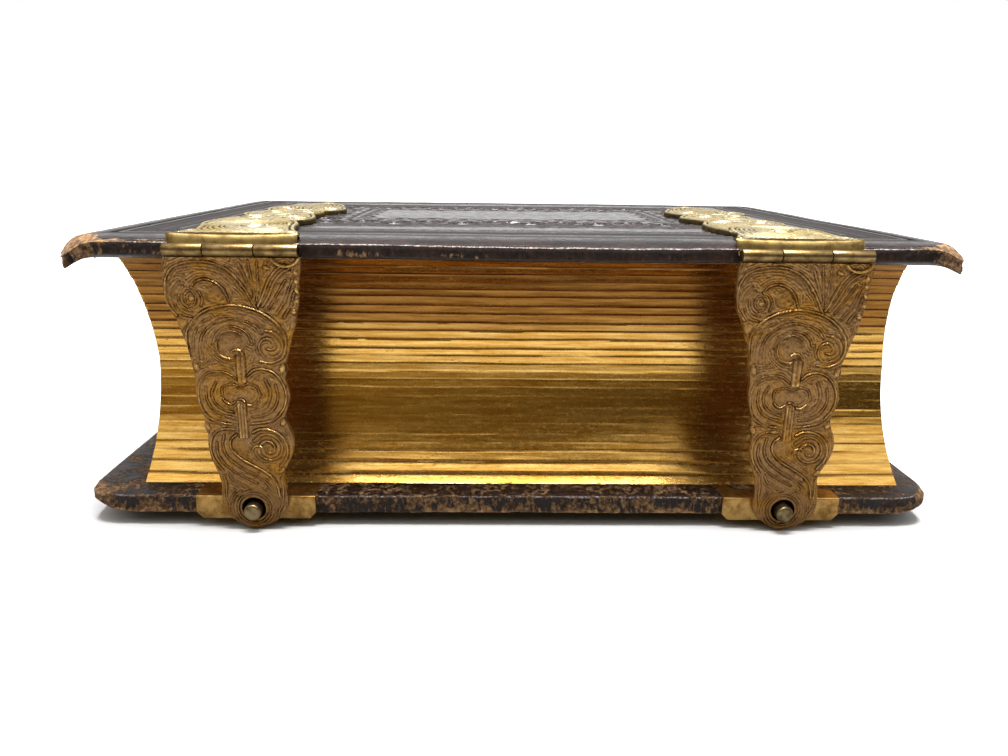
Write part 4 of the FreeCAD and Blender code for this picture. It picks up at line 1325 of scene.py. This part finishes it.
def buildLight():
    v = studio
    bpy.ops.object.light_add(type="AREA", location=v["lampPlace"])
    lamp = bpy.context.active_object
    lamp.data.size = v["lampSize"]
    lamp.data.energy = v["lampPower"]
    world = bpy.data.worlds.new("studio")
    bpy.context.scene.world = world
    world.use_nodes = True
    n = Nodes(world.node_tree, "Generated")
    seen = n.add("LightPath").outputs["Is Camera Ray"]
    x, y, z = n.add("SeparateXYZ", {0: n.place}).outputs
    wide = n.math("ABSOLUTE", x)
    # the dark wall: high in the middle, low at the sides
    ahead = n.ramp(y, -0.02, -0.1)
    aside = n.ramp(n.plus(wide, n.times(y, 0.4)), -0.04, 0.08)
    middle = n.times(n.less(1, aside), n.ramp(z, 0.94, 0.9))
    dark = n.times(ahead, n.plus(middle, n.times(aside, n.ramp(z, 0.6, 0.44))))
    near = n.ramp(z, 0.22, 0.0, (v["dim"], v["horizon"]))   # the floor far off shows a little
    near = n.times(near, n.larger(0.3, n.less(1, n.times(x, v["turned"]))))
    corner = n.ramp(n.plus(wide, n.times(y, 0.75)), 0, 0.2)
    near = n.times(near, n.less(1, n.times(corner, 0.9)))
    # the bright room: less at the far sides and over the far wall, more high up behind the camera
    behind = n.times(n.ramp(y, 0.1, 0.4), n.ramp(wide, 0.2, 0.42))
    above = n.times(n.times(n.ramp(z, 0.26, 0.46), n.ramp(z, 0.95, 0.84)), n.ramp(y, 0.05, 0.3))
    bright = n.less(n.less(v["bright"], n.times(behind, v["sides"])), n.times(above, v["above"]))
    high = n.times(n.times(n.ramp(z, 0.9, 0.93), n.ramp(z, 0.998, 0.988)), ahead)
    bright = n.plus(bright, n.times(high, v["key"]))
    shade = n.plus(n.times(n.less(1, dark), bright), n.times(dark, near))
    warm = n.mix(n.times(dark, n.less(1, seen)), (1, 1, 1, 1), v["dimColour"])
    n.put(n.nodes["Background"], {"Color": warm, "Strength": n.blend(seen, shade, 1.0)})


def buildCamera():
    v = studio
    turn, down, roll = (math.radians(v[key]) for key in ("turn", "down", "roll"))
    forward = Vector((math.sin(turn) * math.cos(down), math.cos(turn) * math.cos(down), -math.sin(down)))
    right = Vector((math.cos(turn), -math.sin(turn), 0))
    up = right.cross(forward)
    right, up = (right * math.cos(roll) + up * math.sin(roll), up * math.cos(roll) - right * math.sin(roll))
    bpy.ops.object.camera_add()
    camera = bpy.context.active_object
    camera.matrix_world = (Matrix.Translation(toFrame(v["cameraPlace"]))
                           @ Matrix((right, up, -forward)).transposed().to_4x4())
    camera.data.lens = v["lens"]
    camera.data.clip_start = 0.01
    bpy.context.scene.camera = camera


buildFloor()
buildLight()
buildCamera()
bpy.context.scene.view_settings.view_transform = "Standard"
